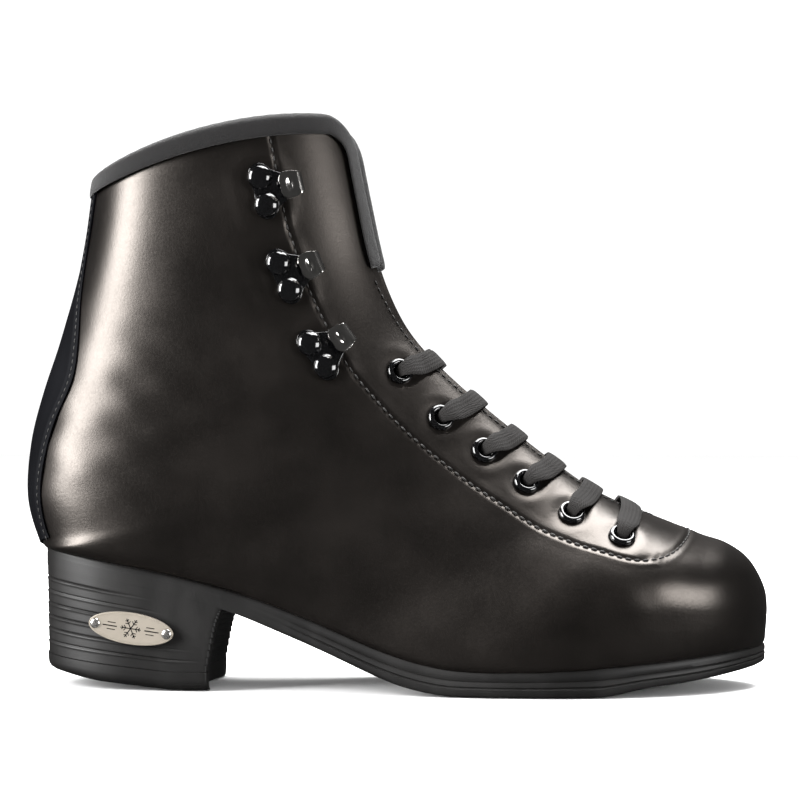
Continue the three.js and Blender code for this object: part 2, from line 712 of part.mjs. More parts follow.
// The heel follows the sole's outline back from the breast, which hollows in and slopes forward.
function stationAt(x, side) {
  let [low, high] = [HEEL, 14];
  for (let i = 0; i < 30; i++) {
    const mid = (low + high) / 2;
    if (edgePoint(mid, side).x < x) low = mid;
    else high = mid;
  }
  return low;
}
const halfPlan = (x, side) => Math.abs(edgePoint(stationAt(x, side), side).y);
function heelLayer(breast, hollow, height, inset) {
  const across = 6;
  return steps(0, Math.PI / 2, 8).flatMap((turn) => {
    const share = 1 - Math.cos(turn);
    return steps(-1, 1, across).map((v) => {
      const front = breast - hollow * (1 - v * v) * share ** 6;
      const x = mix(HEEL_BACK[0] + inset, front, share);
      const side = v < 0 ? LATERAL : MEDIAL;
      const half = Math.max(halfPlan(Math.min(x - inset, breast), side) - inset * Math.min(1, share * 8), 0);
      return new THREE.Vector3(x, v * half, height(x));
    });
  });
}
const heelTop = (x) => underside(x) - GAP;
const slant = (x) => Math.max(0, HEEL_SLANT.from - x) * HEEL_SLANT.slope;
const heelHeights = steps(0, 1, 4).map((down) => (x) => mix(heelTop(x), HEEL_LIFT + GAP + slant(x), down));
const breastAt = (down) => mix(HEEL_BREAST.top, HEEL_BREAST.bottom, down ** 0.6);
const pinFrames = [-0.5, 0.5].map((k) =>
  badgeFrame().multiply(new THREE.Matrix4().makeTranslation(k * BADGE_PIN.spacing, 0, 0)),
);
function badgeFrame() {
  const { inward } = edgePoint(stationAt(BADGE.x, LATERAL), LATERAL);
  const out = new THREE.Vector3(-inward.x, -inward.y, 0).normalize();
  const along = new THREE.Vector3(0, 0, 1).cross(out).negate();
  const seat = new THREE.Vector3(BADGE.x, -halfPlan(BADGE.x, LATERAL), BADGE.z);
  const frame = new THREE.Matrix4().makeBasis(along.negate(), new THREE.Vector3(0, 0, 1), out);
  return frame.setPosition(seat).multiply(new THREE.Matrix4().makeRotationZ(BADGE.tilt));
}
add(
  bottom,
  "heel_block",
  cut(
    solidBetween(
      heelHeights.map((height, k) => heelLayer(breastAt(k / 4), HEEL_BREAST.hollow, height, 0.4 + 0.15 * k)),
      gridFaces(9, 7, 0, true),
    ),
    [
      screwHole(HEEL_SCREW.shank * 1.4, screwTop - HEEL_SCREW.depth - 6, 80),
      ...pinFrames.map((frame) => drill(frame, BADGE_PIN.shank * 1.6, -BADGE_PIN.depth - 2, 3)),
    ],
  ),
  SOLE_RUBBER,
);
add(
  bottom,
  "heel_lift",
  solidBetween(
    [HEEL_LIFT, 2, 0].map((z, k) =>
      heelLayer(HEEL_BREAST.bottom - 0.4 * k, HEEL_BREAST.hollow, (x) => z + slant(x), [1, 1.1, 2.6][k]),
    ),
    gridFaces(9, 7, 0, true),
  ),
  SOLE_RUBBER,
);
const { shank: screwShank, head: screwHead, depth: screwDepth } = HEEL_SCREW;
add(
  bottom,
  "heel_screw",
  turned([
    [0, -screwDepth], [screwShank, 3 - screwDepth], [screwShank, -1.2],
    [screwHead, -1.2], [screwHead, 0], [0, 0],
  ]),
  STEEL,
  new THREE.Matrix4().makeTranslation(HEEL_SCREW.x, 0, screwTop),
);
const oval = new THREE.Shape().absellipse(0, 0, BADGE.long / 2, BADGE.high / 2, 0, Math.PI * 2);
const plate = new THREE.ExtrudeGeometry(oval, { depth: BADGE.thick, bevelEnabled: false, curveSegments: 12 });
const badgeSeat = new THREE.Matrix4().makeTranslation(0, 0, GAP + 0.4);
add(
  bottom,
  "heel_badge",
  cut(
    plate.applyMatrix4(badgeFrame().multiply(badgeSeat)),
    pinFrames.map((frame) => drill(frame, BADGE_PIN.shank * 1.6, -9, 9)),
  ),
  STEEL,
);
const pinUnder = GAP + 0.4 + BADGE.thick + GAP;
pinFrames.forEach((frame, k) =>
  add(
    bottom,
    `badge_pin_${k + 1}`,
    turned(
      [[0, -BADGE_PIN.depth], [BADGE_PIN.shank, -BADGE_PIN.depth], [BADGE_PIN.shank, pinUnder],
        [BADGE_PIN.head, pinUnder], [BADGE_PIN.head * 0.8, pinUnder + 0.6], [0, pinUnder + 0.9]],
      10,
    ),
    STEEL,
    frame,
  ),
);

// ---------------------------------------------------------------- eyelets, rivets and hooks
const hardware = subAssembly();
function eyeletRing() {
  const { bore, barrel, flange, rise, clinch, clinchAt, seat } = EYELET;
  const [under, over] = clinchAt;
  return turned([
    [bore, -over], [clinch, -over], [clinch, -under], [barrel, -under], [barrel, seat],
    [flange, seat], [flange - 0.8, rise], [bore + 0.3, rise],
  ]);
}
const { shank, dome, rise: domeRise, head, headAt } = RIVET;
function rivetBody() {
  const seat = GAP + HOOK.thick + GAP;
  const crown = steps(0, 1, 2).map((t) => [
    dome * Math.cos((t * Math.PI) / 2),
    seat + 0.5 + (domeRise - 0.5) * Math.sin((t * Math.PI) / 2),
  ]);
  return turned([
    [0, -headAt[1]], [head, -headAt[1]], [head, -headAt[0]], [shank, -headAt[0]], [shank, seat],
    [dome, seat], ...crown.slice(0, 2), [0, seat + domeRise],
  ]);
}
// A hook is a riveted plate whose tongue of metal curls up at the front and back over the lace.
function hookBody(spread) {
  const { thick, half, spine, lift, tab } = HOOK;
  const plan = new THREE.Shape();
  plan.absarc(0, spread, half, 0, Math.PI, false);
  plan.absarc(0, -spread, half, Math.PI, 2 * Math.PI, false);
  plan.lineTo(spine - 3, -tab / 2);
  plan.lineTo(spine - 3, tab / 2);
  for (const y of [spread, -spread])
    plan.holes.push(new THREE.Path().absarc(0, y, shank + GAP, 0, Math.PI * 2));
  const base = new THREE.ExtrudeGeometry(plan, { depth: thick, bevelEnabled: false, curveSegments: 3 });
  const side = new THREE.Shape();
  const radius = lift / 2 + thick;
  side.moveTo(spine - 6, 0);
  side.lineTo(spine - radius, 0);
  side.absarc(spine - radius, radius, radius, -Math.PI / 2, Math.PI / 2, false);
  side.lineTo(spine - 8.8, radius * 2 + 0.4);
  side.lineTo(spine - 8.8, radius * 2 - thick + 0.4);
  side.lineTo(spine - radius, radius * 2 - thick);
  side.absarc(spine - radius, radius, radius - thick, Math.PI / 2, -Math.PI / 2, true);
  side.lineTo(spine - 6, thick);
  const curl = new THREE.ExtrudeGeometry(side, { depth: tab, bevelEnabled: false, curveSegments: 3 });
  curl.translate(0, 0, -tab / 2).rotateX(Math.PI / 2);
  return geometryFrom(solidOf(base).add(solidOf(curl)).translate([0, 0, GAP]));
}
for (const { name, frame } of eyelets) add(hardware, name, eyeletRing(), BLACK_METAL, frame);
for (const { name, frame, spread } of hooks) add(hardware, name, hookBody(spread), HOOK_METAL, frame);
for (const { name, frame } of rivets) add(hardware, name, rivetBody(), BLACK_METAL, frame);

// ---------------------------------------------------------------- the lace
// One braid: a bar under the lowest row, then each end comes out of its eyelet, goes over its
// facing, down into the throat, under the far facing and out of the next eyelet up. Both ends are
// tucked inside beside the tongue. A knot of the route is [station, arc signed by side, depth,
// bunched, folded], where a folded one lies with its width along the facing's edge.
const LAST_ROW = EYELET_ROWS.length - 1;
const LACE_EASE = 1.3; // how a crossing leaves its lower eyelet
const LACE_END = [3, 32.8]; // the place that the last crossings head for
const LACE_END_UNDER = 7.9; // they pass over the tongue there
const LACE_FOLD = [[12.4, -1.9], [10.7, 0], [8.6, 3.4], [5, 5.2]]; // over the facing's edge
function inward(row, side) {
  // Under the facing to the eyelet and up into its bore.
  const [station, arc] = EYELET_ROWS[row];
  return [[7, LACE_UNDER, 0.3], [2.6, LACE_UNDER + 0.3, 1], [0.6, 8.9, 1], [0, 7.2, 1], [0, 2.5, 1]].map(
    ([before, depth, bunched]) => [station, side * (arc - before), depth, bunched],
  );
}
// From inside an eyelet out and across to the eyelet above it on the other side.
function crossing(row, side, lift) {
  const [s1, a1] = EYELET_ROWS[row];
  const [s2, a2] = row ? EYELET_ROWS[row - 1] : LACE_END;
  const lean = (0.55 * (s2 - s1)) / (a1 + a2);
  const under = row ? LACE_UNDER : LACE_END_UNDER;
  const shift = row === LAST_ROW ? 4.2 : 0; // the throat closes there
  const out = [[0, 3.5, 1], [0, -0.6, 1], [1.4, -2.7, 1], [4.2, -3.4, 1], [7, -2.4, 0.5]].map(
    ([beyond, depth, bunched]) => [s1 + lean * beyond, side * (a1 - beyond), depth, bunched],
  );
  const gone = (arc) => ((a1 - arc) / (a1 + a2)) ** LACE_EASE;
  const at = (arc, depth, folded = 0) => [mix(s1, s2, gone(arc)), side * arc, depth, 0, folded];
  return [
    ...out,
    at(23, LACE_OVER), at(18, -1.9), ...LACE_FOLD.map(([arc, depth]) => at(arc - shift, depth, 1)),
    at(0 - shift / 2, under - 0.6 - lift), at(-6 - shift / 4, under - 0.3 - lift / 2), at(-14, under),
    ...(row ? inward(row - 1, -side) : []),
  ];
}
const TAIL = [[3.3, 24], [3.5, 34], [4.2, 45], [5, 56], [5.6, 69], [6.3, 86], [6.9, 104], [7.3, 120]];
function laceRoute(side) {
  // From the middle of the bar to one end.
  const bar = [-3, 10, 20].map((arc) => [EYELET_ROWS[LAST_ROW][0], side * arc, LACE_UNDER, 0]);
  const legs = [[...bar, ...inward(LAST_ROW, side)]];
  let here = side;
  for (let row = LAST_ROW; row >= 0; row--) {
    legs.push(crossing(row, here, side === LATERAL ? 1.9 : 0));
    here = -here;
  }
  const depthAt = (k) => Math.min(LACE_END_UNDER + 0.8 * k, LACE_UNDER + 0.4 * k);
  const tail = TAIL.map(([s, a], k) => [s, here * a, depthAt(k), 0]);
  legs.push([...legs.at(-1).slice(-2), ...tail]);
  return legs;
}
const placeOf = ([station, arc, depth]) => {
  const side = arc < 0 ? LATERAL : MEDIAL;
  const { normal } = faceAt(station, side, Math.abs(arc));
  const [point, next] = [0, 0.1].map((on) => onLast(station + on, side, Math.abs(arc), depth));
  return { point, normal, edge: next.sub(point).normalize() };
};
// A braid along a route: its width lies square to the way the leg goes over the surface.
function braid(route) {
  const places = route.map(placeOf);
  const travel = places.at(-1).point.clone().sub(places[0].point);
  const rows = places.map(({ point, normal, edge }, i) => {
    const ahead = places[Math.min(i + 1, places.length - 1)].point.clone();
    ahead.sub(places[Math.max(i - 1, 0)].point).normalize();
    const local = route.length > 12 || i === 0 ? travel : ahead;
    const wide = normal.clone().cross(Math.abs(ahead.dot(normal)) > 0.8 ? travel : local);
    wide.addScaledVector(ahead, -wide.dot(ahead)).normalize();
    const thick = ahead.clone().cross(wide).normalize();
    const [, , , bunched, folded] = route[i];
    if (folded) wide.copy(edge).divideScalar(edge.dot(wide));
    const [w, t] = [LACE_WIDE, LACE_THICK].map((v, k) => mix(v, LACE_IN_EYELET[k], bunched) / 2);
    return [[-w, -t], [w, -t], [w, t], [-w, t]].map(
      ([u, v]) => point.clone().addScaledVector(wide, u).addScaledVector(thick, v),
    );
  });
  return loft(rows);
}
const routes = [LATERAL, MEDIAL].map(laceRoute);
const lace = routes.flat().map((leg) => solidOf(braid(leg))).reduce((whole, leg) => whole.add(leg));
const lacing = subAssembly();
add(lacing, "lace", geometryFrom(lace), LACE_BRAID);
routes.forEach((legs, k) => {
  const [before, end] = legs.at(-1).slice(-2).map((knot) => placeOf(knot).point);
  const ahead = end.clone().sub(before).normalize();
  const turn = new THREE.Quaternion().setFromUnitVectors(new THREE.Vector3(0, 0, 1), ahead);
  const seat = end.addScaledVector(ahead, GAP);
  const { radius, length } = AGLET;
  const tip = [[0, 0], [radius, 0], [radius, length - 1], [radius * 0.7, length], [0, length]];
  const frame = new THREE.Matrix4().compose(seat, turn, new THREE.Vector3(1, 1, 1));
  add(lacing, `aglet_${k + 1}`, turned(tip), BLACK_METAL, frame);
});

export default boot;
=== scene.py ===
"""The looks of a lace-up figure-skating boot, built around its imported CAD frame.

Shapes are worked out in millimetres in the boot's own axes (+X to the toe, +Y to the inner side,
+Z up, origin under the ankle) and moved into the frame, in metres, when a mesh is made.
"""

import json
import logging
import math
from dataclasses import dataclass, field
from enum import Enum
from typing import Callable, Sequence

import bpy
import numpy as np
from mathutils import Matrix, Vector

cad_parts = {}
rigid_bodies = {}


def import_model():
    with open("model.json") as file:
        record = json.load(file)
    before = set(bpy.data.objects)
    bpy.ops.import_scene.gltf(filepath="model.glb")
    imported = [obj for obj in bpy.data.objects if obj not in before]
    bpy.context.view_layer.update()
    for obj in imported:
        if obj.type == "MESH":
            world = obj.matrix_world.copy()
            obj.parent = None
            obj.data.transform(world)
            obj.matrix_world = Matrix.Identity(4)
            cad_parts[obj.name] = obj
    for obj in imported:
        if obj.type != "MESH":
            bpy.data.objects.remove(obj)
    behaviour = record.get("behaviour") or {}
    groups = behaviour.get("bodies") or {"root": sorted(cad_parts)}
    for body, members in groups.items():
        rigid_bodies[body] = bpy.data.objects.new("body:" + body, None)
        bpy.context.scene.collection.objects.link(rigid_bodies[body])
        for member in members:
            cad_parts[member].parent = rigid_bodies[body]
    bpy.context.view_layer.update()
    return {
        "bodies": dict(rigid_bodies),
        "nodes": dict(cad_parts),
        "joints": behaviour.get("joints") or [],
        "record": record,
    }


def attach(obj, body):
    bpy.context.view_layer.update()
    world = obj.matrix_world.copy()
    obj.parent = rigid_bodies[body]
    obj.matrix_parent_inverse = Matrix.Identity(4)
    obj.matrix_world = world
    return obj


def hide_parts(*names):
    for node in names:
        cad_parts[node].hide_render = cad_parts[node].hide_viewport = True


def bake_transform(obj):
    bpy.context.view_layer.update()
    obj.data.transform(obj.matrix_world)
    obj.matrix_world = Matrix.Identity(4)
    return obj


log = logging.getLogger("skating_boot")

MM = 0.001
ORIGIN = np.array([1.8, 1.17, 0.0])  # the boot's own origin in the frame, mm
HEEL, TOE = 7.0, 21.0  # stations at the back of the sole and at the toe tip
LATERAL, MEDIAL = -1, 1
SIDES = {"lateral": LATERAL, "medial": MEDIAL}
GAP = 0.4  # clearance between neighbouring CAD pieces


# ------------------------------------------------------------------ curves and the last
class Track:
    """A smooth curve through knots [place, value, value, ...] in order of place."""

    def __init__(self, *knots: Sequence[float]) -> None:
        """Works out the slope at each knot.

        Args:
            knots: the place and the values there, for each knot.
        """
        table = np.array(knots, float)
        self.places, self.values = table[:, 0], table[:, 1:]
        last = len(knots) - 1
        before, after = np.maximum(np.arange(last + 1) - 1, 0), np.minimum(np.arange(last + 1) + 1, last)
        run = (self.places[after] - self.places[before])[:, None]
        self.slopes = (self.values[after] - self.values[before]) / run

    def __call__(self, place: np.ndarray | float) -> np.ndarray:
        """The values at one place or at an array of places.

        Args:
            place: where along the curve.

        Returns:
            The values, with one more axis than place where a knot holds several.
        """
        at = np.asarray(place, float)
        i = np.clip(np.searchsorted(self.places, at, side="left") - 1, 0, len(self.places) - 2)
        h = (self.places[i + 1] - self.places[i])[..., None]
        t = (at - self.places[i])[..., None] / h
        made = (
            (1 + 2 * t) * (1 - t) ** 2 * self.values[i]
            + t * (1 - t) ** 2 * self.slopes[i] * h
            + t * t * (3 - 2 * t) * self.values[i + 1]
            + t * t * (t - 1) * self.slopes[i + 1] * h
        )
        return made[..., 0] if self.values.shape[1] == 1 else made


def smoothstep(low: float, high: float, value: np.ndarray | float) -> np.ndarray:
    """0 below low, 1 above high and a smooth rise between."""
    t = np.clip((np.asarray(value, float) - low) / (high - low), 0, 1)
    return t * t * (3 - 2 * t)


def unit(vectors: np.ndarray) -> np.ndarray:
    """The vectors at length one."""
    return vectors / np.maximum(np.linalg.norm(vectors, axis=-1, keepdims=True), 1e-9)


def along_rows(points: np.ndarray) -> np.ndarray:
    """The direction of travel at each point of a line."""
    return unit(np.gradient(points, axis=0))


def spaced(points: np.ndarray, pitch: float) -> np.ndarray:
    """A line's points again, at an even pitch.

    Args:
        points: any array whose first three columns are a position in mm.
        pitch: the distance between the new points.

    Returns:
        The same columns at the new points.
    """
    steps = np.linalg.norm(np.diff(points[:, :3], axis=0), axis=1)
    run = np.concatenate([[0], np.cumsum(steps)])
    goal = np.linspace(0, run[-1], max(int(round(run[-1] / pitch)), 2) + 1)
    return np.stack([np.interp(goal, run, column) for column in points.T], axis=1)


class Last:
    """The outer face of the boot's leather, by station along it and share of a section round it.

    Stations run from 0 at the collar through HEEL to TOE. A share goes from 0 at the front ridge to
    1 at the back seam or the sole's edge, and is negative on the lateral side.
    """

    STEP = 0.05
    COLUMNS = 160
    BOW = 6.5  # rise of the collar line above a straight one
    HEEL_BACK = (-138.5, 0.0)
    TOE_TIP = (141.5, 4.0)
    LATERAL_EDGE = (
        (-132.5, -16), (-115, -27.5), (-89, -31), (-58, -32.5), (-26, -36), (4, -41.5), (34, -46),
        (60, -46.5), (83, -43), (103, -36), (119, -27), (131, -16.5), (138.8, -6),
    )
    MEDIAL_EDGE = (
        (-132.5, 16), (-115, 27.5), (-89, 29), (-58, 27), (-26, 26.5), (4, 32), (34, 40), (60, 45),
        (83, 45.5), (103, 41), (119, 33.5), (131, 24), (138.8, 14),
    )
    ridge = Track(
        (0, -16, 216), (1, -10, 187), (2, -4, 162), (3, 5, 141), (4, 16, 126.5), (6, 35, 108.5),
        (8, 50, 96), (10, 63, 86), (12, 76, 77), (14, 91, 68.5), (16, 108, 61.5), (17, 117, 58),
        (18, 126.5, 54.8), (19, 135, 48.5), (20, 141, 37.5), (21, 142.5, 26),
    )
    back = Track(
        (0, -118.5, 193.5), (1, -121.5, 172), (2, -126, 152), (3, -131.5, 133), (4, -138, 113),
        (5, -143, 92), (6, -144, 71), (7, -138.5, 53.4),
    )
    sole_edge = Track(
        (-140, 53.6), (-115, 49), (-86, 43.4), (-61, 37), (-46, 32), (-27, 24.5), (-8, 16.8),
        (8, 11.8), (23, 9.2), (45, 8.8), (70, 9.6), (95, 11.4), (120, 13.6), (143, 16),
    )
    widest = Track(
        (0, 33.5, 33.5), (2, 33.5, 33.5), (4, 36, 35.5), (6, 37.5, 36.5), (8, 38, 37), (10, 38, 36),
        (12, 40.5, 35.5), (13, 44.5, 38.5), (14, 48, 42), (15, 48.5, 45.5), (16, 45.5, 46.5),
        (17, 39, 43.5), (18, 30.5, 37.5), (19, 19.5, 28.5), (20, 6.5, 15.5), (21, -4, 4),
    )
    form = Track(
        (0, 0.5, 2.15, 2.2), (3, 0.54, 2.25, 2.2), (5, 0.6, 2.45, 2.4), (7, 0.64, 2.55, 2.6),
        (10, 0.66, 2.6, 2.6), (12, 0.66, 2.5, 2.3), (14, 0.62, 2.3, 2.2), (17, 0.6, 2.2, 2.2),
        (21, 0.55, 2.1, 2.2),
    )
    facing_line = Track((0, 15), (3, 15), (5, 14), (7, 12.8), (12.6, 12.8), (13.6, 10.5), (14.2, 6))
    FACING, CORNER_STATIONS, CORNER_ARC, THROAT_END = 15.0, 0.45, 12.0, 14.6

    def __init__(self) -> None:
        """Works out a fine net of the surface once, and eases its two sharp turns."""
        self.outline = np.array([self.HEEL_BACK, *self.LATERAL_EDGE, self.TOE_TIP, *self.MEDIAL_EDGE[::-1]])
        rows = np.arange(0, TOE + self.STEP / 2, self.STEP)
        shares = np.linspace(0, 1, self.COLUMNS + 1)
        nets, self.lengths = {}, {}
        for side in SIDES.values():
            lines = self._sections(rows, side)
            run = np.concatenate(
                [np.zeros((len(rows), 1)), np.cumsum(np.linalg.norm(np.diff(lines, axis=1), axis=2), axis=1)],
                axis=1,
            )
            self.lengths[side] = run[:, -1]
            nets[side] = np.array(
                [[np.interp(shares * r[-1], r, line[:, k]) for k in range(3)] for r, line in zip(run, lines)]
            ).transpose(0, 2, 1)
        net = np.concatenate([nets[LATERAL][:, ::-1], nets[MEDIAL][:, 1:]], axis=1)
        self.rows = rows
        self.net = self._eased(net, rows)

    def _sections(self, rows: np.ndarray, side: int, steps: int = 90) -> np.ndarray:
        """Sections as oval-like lines from the ridge to the back seam or the sole's edge.

        Args:
            rows: stations of the net.
            side: LATERAL or MEDIAL.
            steps: points along each quarter of a section.

        Returns:
            The outline of each section.
        """
        front, (at, top, low) = self.ridge(rows), self.form(rows).T
        edge = self.edge(rows, side)[:, :2]
        seam = self.back(rows)
        high = rows <= HEEL
        end_x = np.where(high, seam[:, 0], edge[:, 0])
        end_y = np.where(high, 0.0, edge[:, 1])
        end_z = np.where(high, seam[:, 1], self.sole_edge(edge[:, 0]))
        middle = self.TOE_TIP[1] * (np.maximum(0, rows - 12) / (TOE - 12)) ** 2
        wide = self.widest(rows)[:, 0 if side == LATERAL else 1]
        half = np.maximum(wide - side * middle, 0)[:, None]
        close = np.maximum(side * (end_y - middle), 0)[:, None]
        angle = np.linspace(0, math.pi / 2, steps + 1)[None, :]
        sin, cos = np.abs(np.sin(angle)), np.abs(np.cos(angle))
        at, top, low = at[:, None], top[:, None], low[:, None]
        share_low = (at + (1 - at) * sin ** (2 / low))[:, 1:]
        out_low = (close + (half - close) * cos ** (2 / low))[:, 1:]
        share = np.concatenate([at * (1 - cos ** (2 / top)), share_low], axis=1)
        out = np.concatenate([half * sin ** (2 / top), out_low], axis=1)
        bow = (self.BOW * np.maximum(0, 1 - rows / 3) ** 2)[:, None]
        return np.stack(
            [
                front[:, :1] + (end_x[:, None] - front[:, :1]) * share,
                middle[:, None] + side * out,
                front[:, 1:] + (end_z[:, None] - front[:, 1:]) * share + bow * 4 * share * (1 - share),
            ],
            axis=2,
        )

    def _eased(self, net: np.ndarray, rows: np.ndarray) -> np.ndarray:
        """Smooths the net along the boot at the heel's corner and round the toe tip.

        Args:
            net: outlines of the sections.
            rows: stations of the net.

        Returns:
            The outlines, drawn in at the heel and the toe.
        """
        reach = 26
        pad = np.concatenate([net, net[-2 : -2 - reach : -1, ::-1]])
        pad = np.concatenate([np.repeat(net[:1], reach, axis=0), pad])
        weights = np.exp(-((np.arange(-reach, reach + 1) / (reach * 0.45)) ** 2))
        weights /= weights.sum()
        soft = sum(w * pad[k : k + len(net)] for k, w in enumerate(weights))
        across = np.abs(np.linspace(-1, 1, net.shape[1]))[None, :]
        heel = np.exp(-(((rows - HEEL) / 1.3) ** 2))[:, None] * (1 - across**24)
        toe = np.exp(-(((rows - TOE) / 0.5) ** 2))[:, None] * np.ones_like(across)
        share = np.maximum(heel, toe)[..., None]
        return net * (1 - share) + soft * share

    def edge(self, station: np.ndarray | float, side: int) -> np.ndarray:
        """The sole's edge at stations from HEEL to TOE.

        Args:
            station: where along the boot.
            side: LATERAL or MEDIAL.

        Returns:
            Columns x, y and the inward direction in plan, x and y.
        """
        count = len(self.outline)
        turn = np.maximum(np.asarray(station, float) - HEEL, 0)
        turn = turn if side == LATERAL else (count - turn) % count
        i = np.floor(turn).astype(int)
        t = (turn - i)[..., None]
        a, b, c, d = (self.outline[(i + k) % count] for k in (-1, 0, 1, 2))
        point = b + 0.5 * t * (c - a + t * (2 * a - 5 * b + 4 * c - d + t * (3 * (b - c) + d - a)))
        ahead = unit(0.5 * (c - a + t * (2 * (2 * a - 5 * b + 4 * c - d) + t * 3 * (3 * (b - c) + d - a))))
        return np.concatenate([point, np.stack([-ahead[..., 1], ahead[..., 0]], axis=-1)], axis=-1)

    def girth(self, station: np.ndarray | float, side: int) -> np.ndarray:
        """Length of the section from the ridge to its end."""
        return np.interp(station, self.rows, self.lengths[side])

    def facing(self, station: np.ndarray | float) -> np.ndarray:
        """The facing's edge as an arc from the ridge: rounded at the collar, closed at the throat's end.

        Args:
            station: place along the boot.

        Returns:
            Distances from the ridge in mm.
        """
        s = np.asarray(station, float)
        turn = np.maximum(0, 1 - s / self.CORNER_STATIONS)
        arc = self.facing_line(np.minimum(s, 14.2)) + self.CORNER_ARC * (1 - np.sqrt(1 - turn**2))
        closing = 6 * np.sqrt(np.maximum(self.THROAT_END - s, 0) / (self.THROAT_END - 14.2))
        return np.where(s > 14.2, closing, arc)

    def skin(self, station: np.ndarray, across: np.ndarray) -> np.ndarray:
        """Points of the surface, smooth between the net's own.

        Args:
            station: where along the boot. Past TOE it comes back on the other side.
            across: signed share of the section. Past 1 it goes round the back seam.

        Returns:
            Points in mm.
        """
        s, u = np.broadcast_arrays(np.asarray(station, float), np.asarray(across, float))
        past = s > TOE
        s, u = np.where(past, 2 * TOE - s, s), np.where(past, -u, u)
        over = (np.abs(u) > 1) & (s <= HEEL)
        u = np.where(over, -np.sign(u) * (2 - np.abs(u)), np.clip(u, -1, 1))
        row, column = np.maximum(s, 0) / self.STEP, (u + 1) * self.COLUMNS
        made = 0.0
        for i, wi in self._cubic(row):
            mirrored = i > len(self.rows) - 1
            i = np.where(mirrored, 2 * (len(self.rows) - 1) - i, np.maximum(i, 0))
            for j, wj in self._cubic(column):
                j = np.clip(j, 0, 2 * self.COLUMNS)
                made = made + (wi * wj)[..., None] * self.net[i, np.where(mirrored, 2 * self.COLUMNS - j, j)]
        return made

    @staticmethod
    def _cubic(place: np.ndarray) -> list[tuple[np.ndarray, np.ndarray]]:
        """The four neighbours of each place on a net and their weights.

        Args:
            place: places between the points of a net.

        Returns:
            The number of each of four neighbours, with its weight.
        """
        i = np.floor(place).astype(int)
        t = place - i
        weights = (
            0.5 * (-t + 2 * t**2 - t**3), 0.5 * (2 - 5 * t**2 + 3 * t**3),
            0.5 * (t + 4 * t**2 - 3 * t**3), 0.5 * (t**3 - t**2),
        )
        return [(i + k - 1, w) for k, w in enumerate(weights)]

    def normal(self, station: np.ndarray, across: np.ndarray) -> np.ndarray:
        """Outward normals, taken over a little neighbourhood as the CAD does.

        Args:
            station: place along the boot.
            across: column of the net.

        Returns:
            Unit vectors out of the boot.
        """
        s, u = np.broadcast_arrays(np.asarray(station, float), np.asarray(across, float))
        around, along = 0.014, 0.2
        tip = (s > TOE - along) & (np.abs(u) < around)
        low, level = np.where(tip, u, u - around), np.where(tip, u + around, u)
        down = self.skin(s, u + around) - self.skin(s, low)
        ahead = self.skin(s + along, level) - self.skin(s - along, level)
        return unit(np.cross(ahead, down))

    def on(
        self, station: np.ndarray | float, arc: np.ndarray | float, depth: np.ndarray | float = 0.0
    ) -> np.ndarray:
        """Points at a signed arc from the ridge, a depth below the outer face.

        Args:
            station: where along the boot.
            arc: distance from the ridge, negative on the lateral side.
            depth: distance below the face; negative is above it.

        Returns:
            Points in mm.
        """
        s, a = np.broadcast_arrays(np.asarray(station, float), np.asarray(arc, float))
        girth = np.where(a < 0, self.girth(s, LATERAL), self.girth(s, MEDIAL))
        share = np.clip(a / girth, -1, 1)
        return self.skin(s, share) - self.normal(s, share) * np.asarray(depth, float)[..., None]

    def out(self, station: np.ndarray | float, arc: np.ndarray | float) -> np.ndarray:
        """Outward normals at a signed arc from the ridge."""
        return unit(self.on(station, arc, -1.0) - self.on(station, arc, 0.0))

    def frame(self, station: float, arc: float, aim: np.ndarray | None = None) -> Matrix:
        """A frame on the leather: +Z out of it, +X towards the toe or the aim, in mm.

        Args:
            station: place along the boot.
            arc: signed distance from the ridge in mm.
            aim: a point that its X axis heads for.

        Returns:
            A frame with its Z axis out of the leather.
        """
        point, normal = self.on(station, arc), self.out(station, arc)
        ahead = self.on(station + 0.2, arc) - self.on(station - 0.2, arc) if aim is None else aim - point
        x = unit(ahead - normal * ahead.dot(normal))
        return frame_of(x, np.cross(normal, x), normal, point)


def frame_of(x: np.ndarray, y: np.ndarray, z: np.ndarray, point: np.ndarray) -> Matrix:
    """A frame with the given axes and origin.

    Args:
        x: its X axis.
        y: its Y axis.
        z: its Z axis.
        point: its origin.

    Returns:
        The frame as a matrix.
    """
    made = Matrix.Identity(4)
    for row in range(3):
        made[row] = (x[row], y[row], z[row], point[row])
    return made


# ------------------------------------------------------------------ mesh work
def deselect() -> None:
    """Leaves object mode's selection empty."""
    if bpy.context.object and bpy.context.object.mode != "OBJECT":
        bpy.ops.object.mode_set(mode="OBJECT")
    bpy.ops.object.select_all(action="DESELECT")


def active_only(piece: bpy.types.Object) -> None:
    """Selects one object and makes it the active one.

    Args:
        piece: the mesh object.
    """
    deselect()
    piece.select_set(True)
    bpy.context.view_layer.objects.active = piece


def coordinates(piece: bpy.types.Object) -> np.ndarray:
    """A mesh's vertices as an array.

    Args:
        piece: the mesh object.

    Returns:
        An array of x, y and z.
    """
    flat = np.empty(len(piece.data.vertices) * 3)
    piece.data.vertices.foreach_get("co", flat)
    return flat.reshape(-1, 3)


def place(piece: bpy.types.Object, points: np.ndarray) -> None:
    """Puts a mesh's vertices at new points."""
    piece.data.vertices.foreach_set("co", np.ascontiguousarray(points, dtype=np.float32).ravel())
    piece.data.update()


def into_frame(points: np.ndarray) -> np.ndarray:
    """The boot's own millimetres as the frame's metres."""
    return (points + ORIGIN) * MM


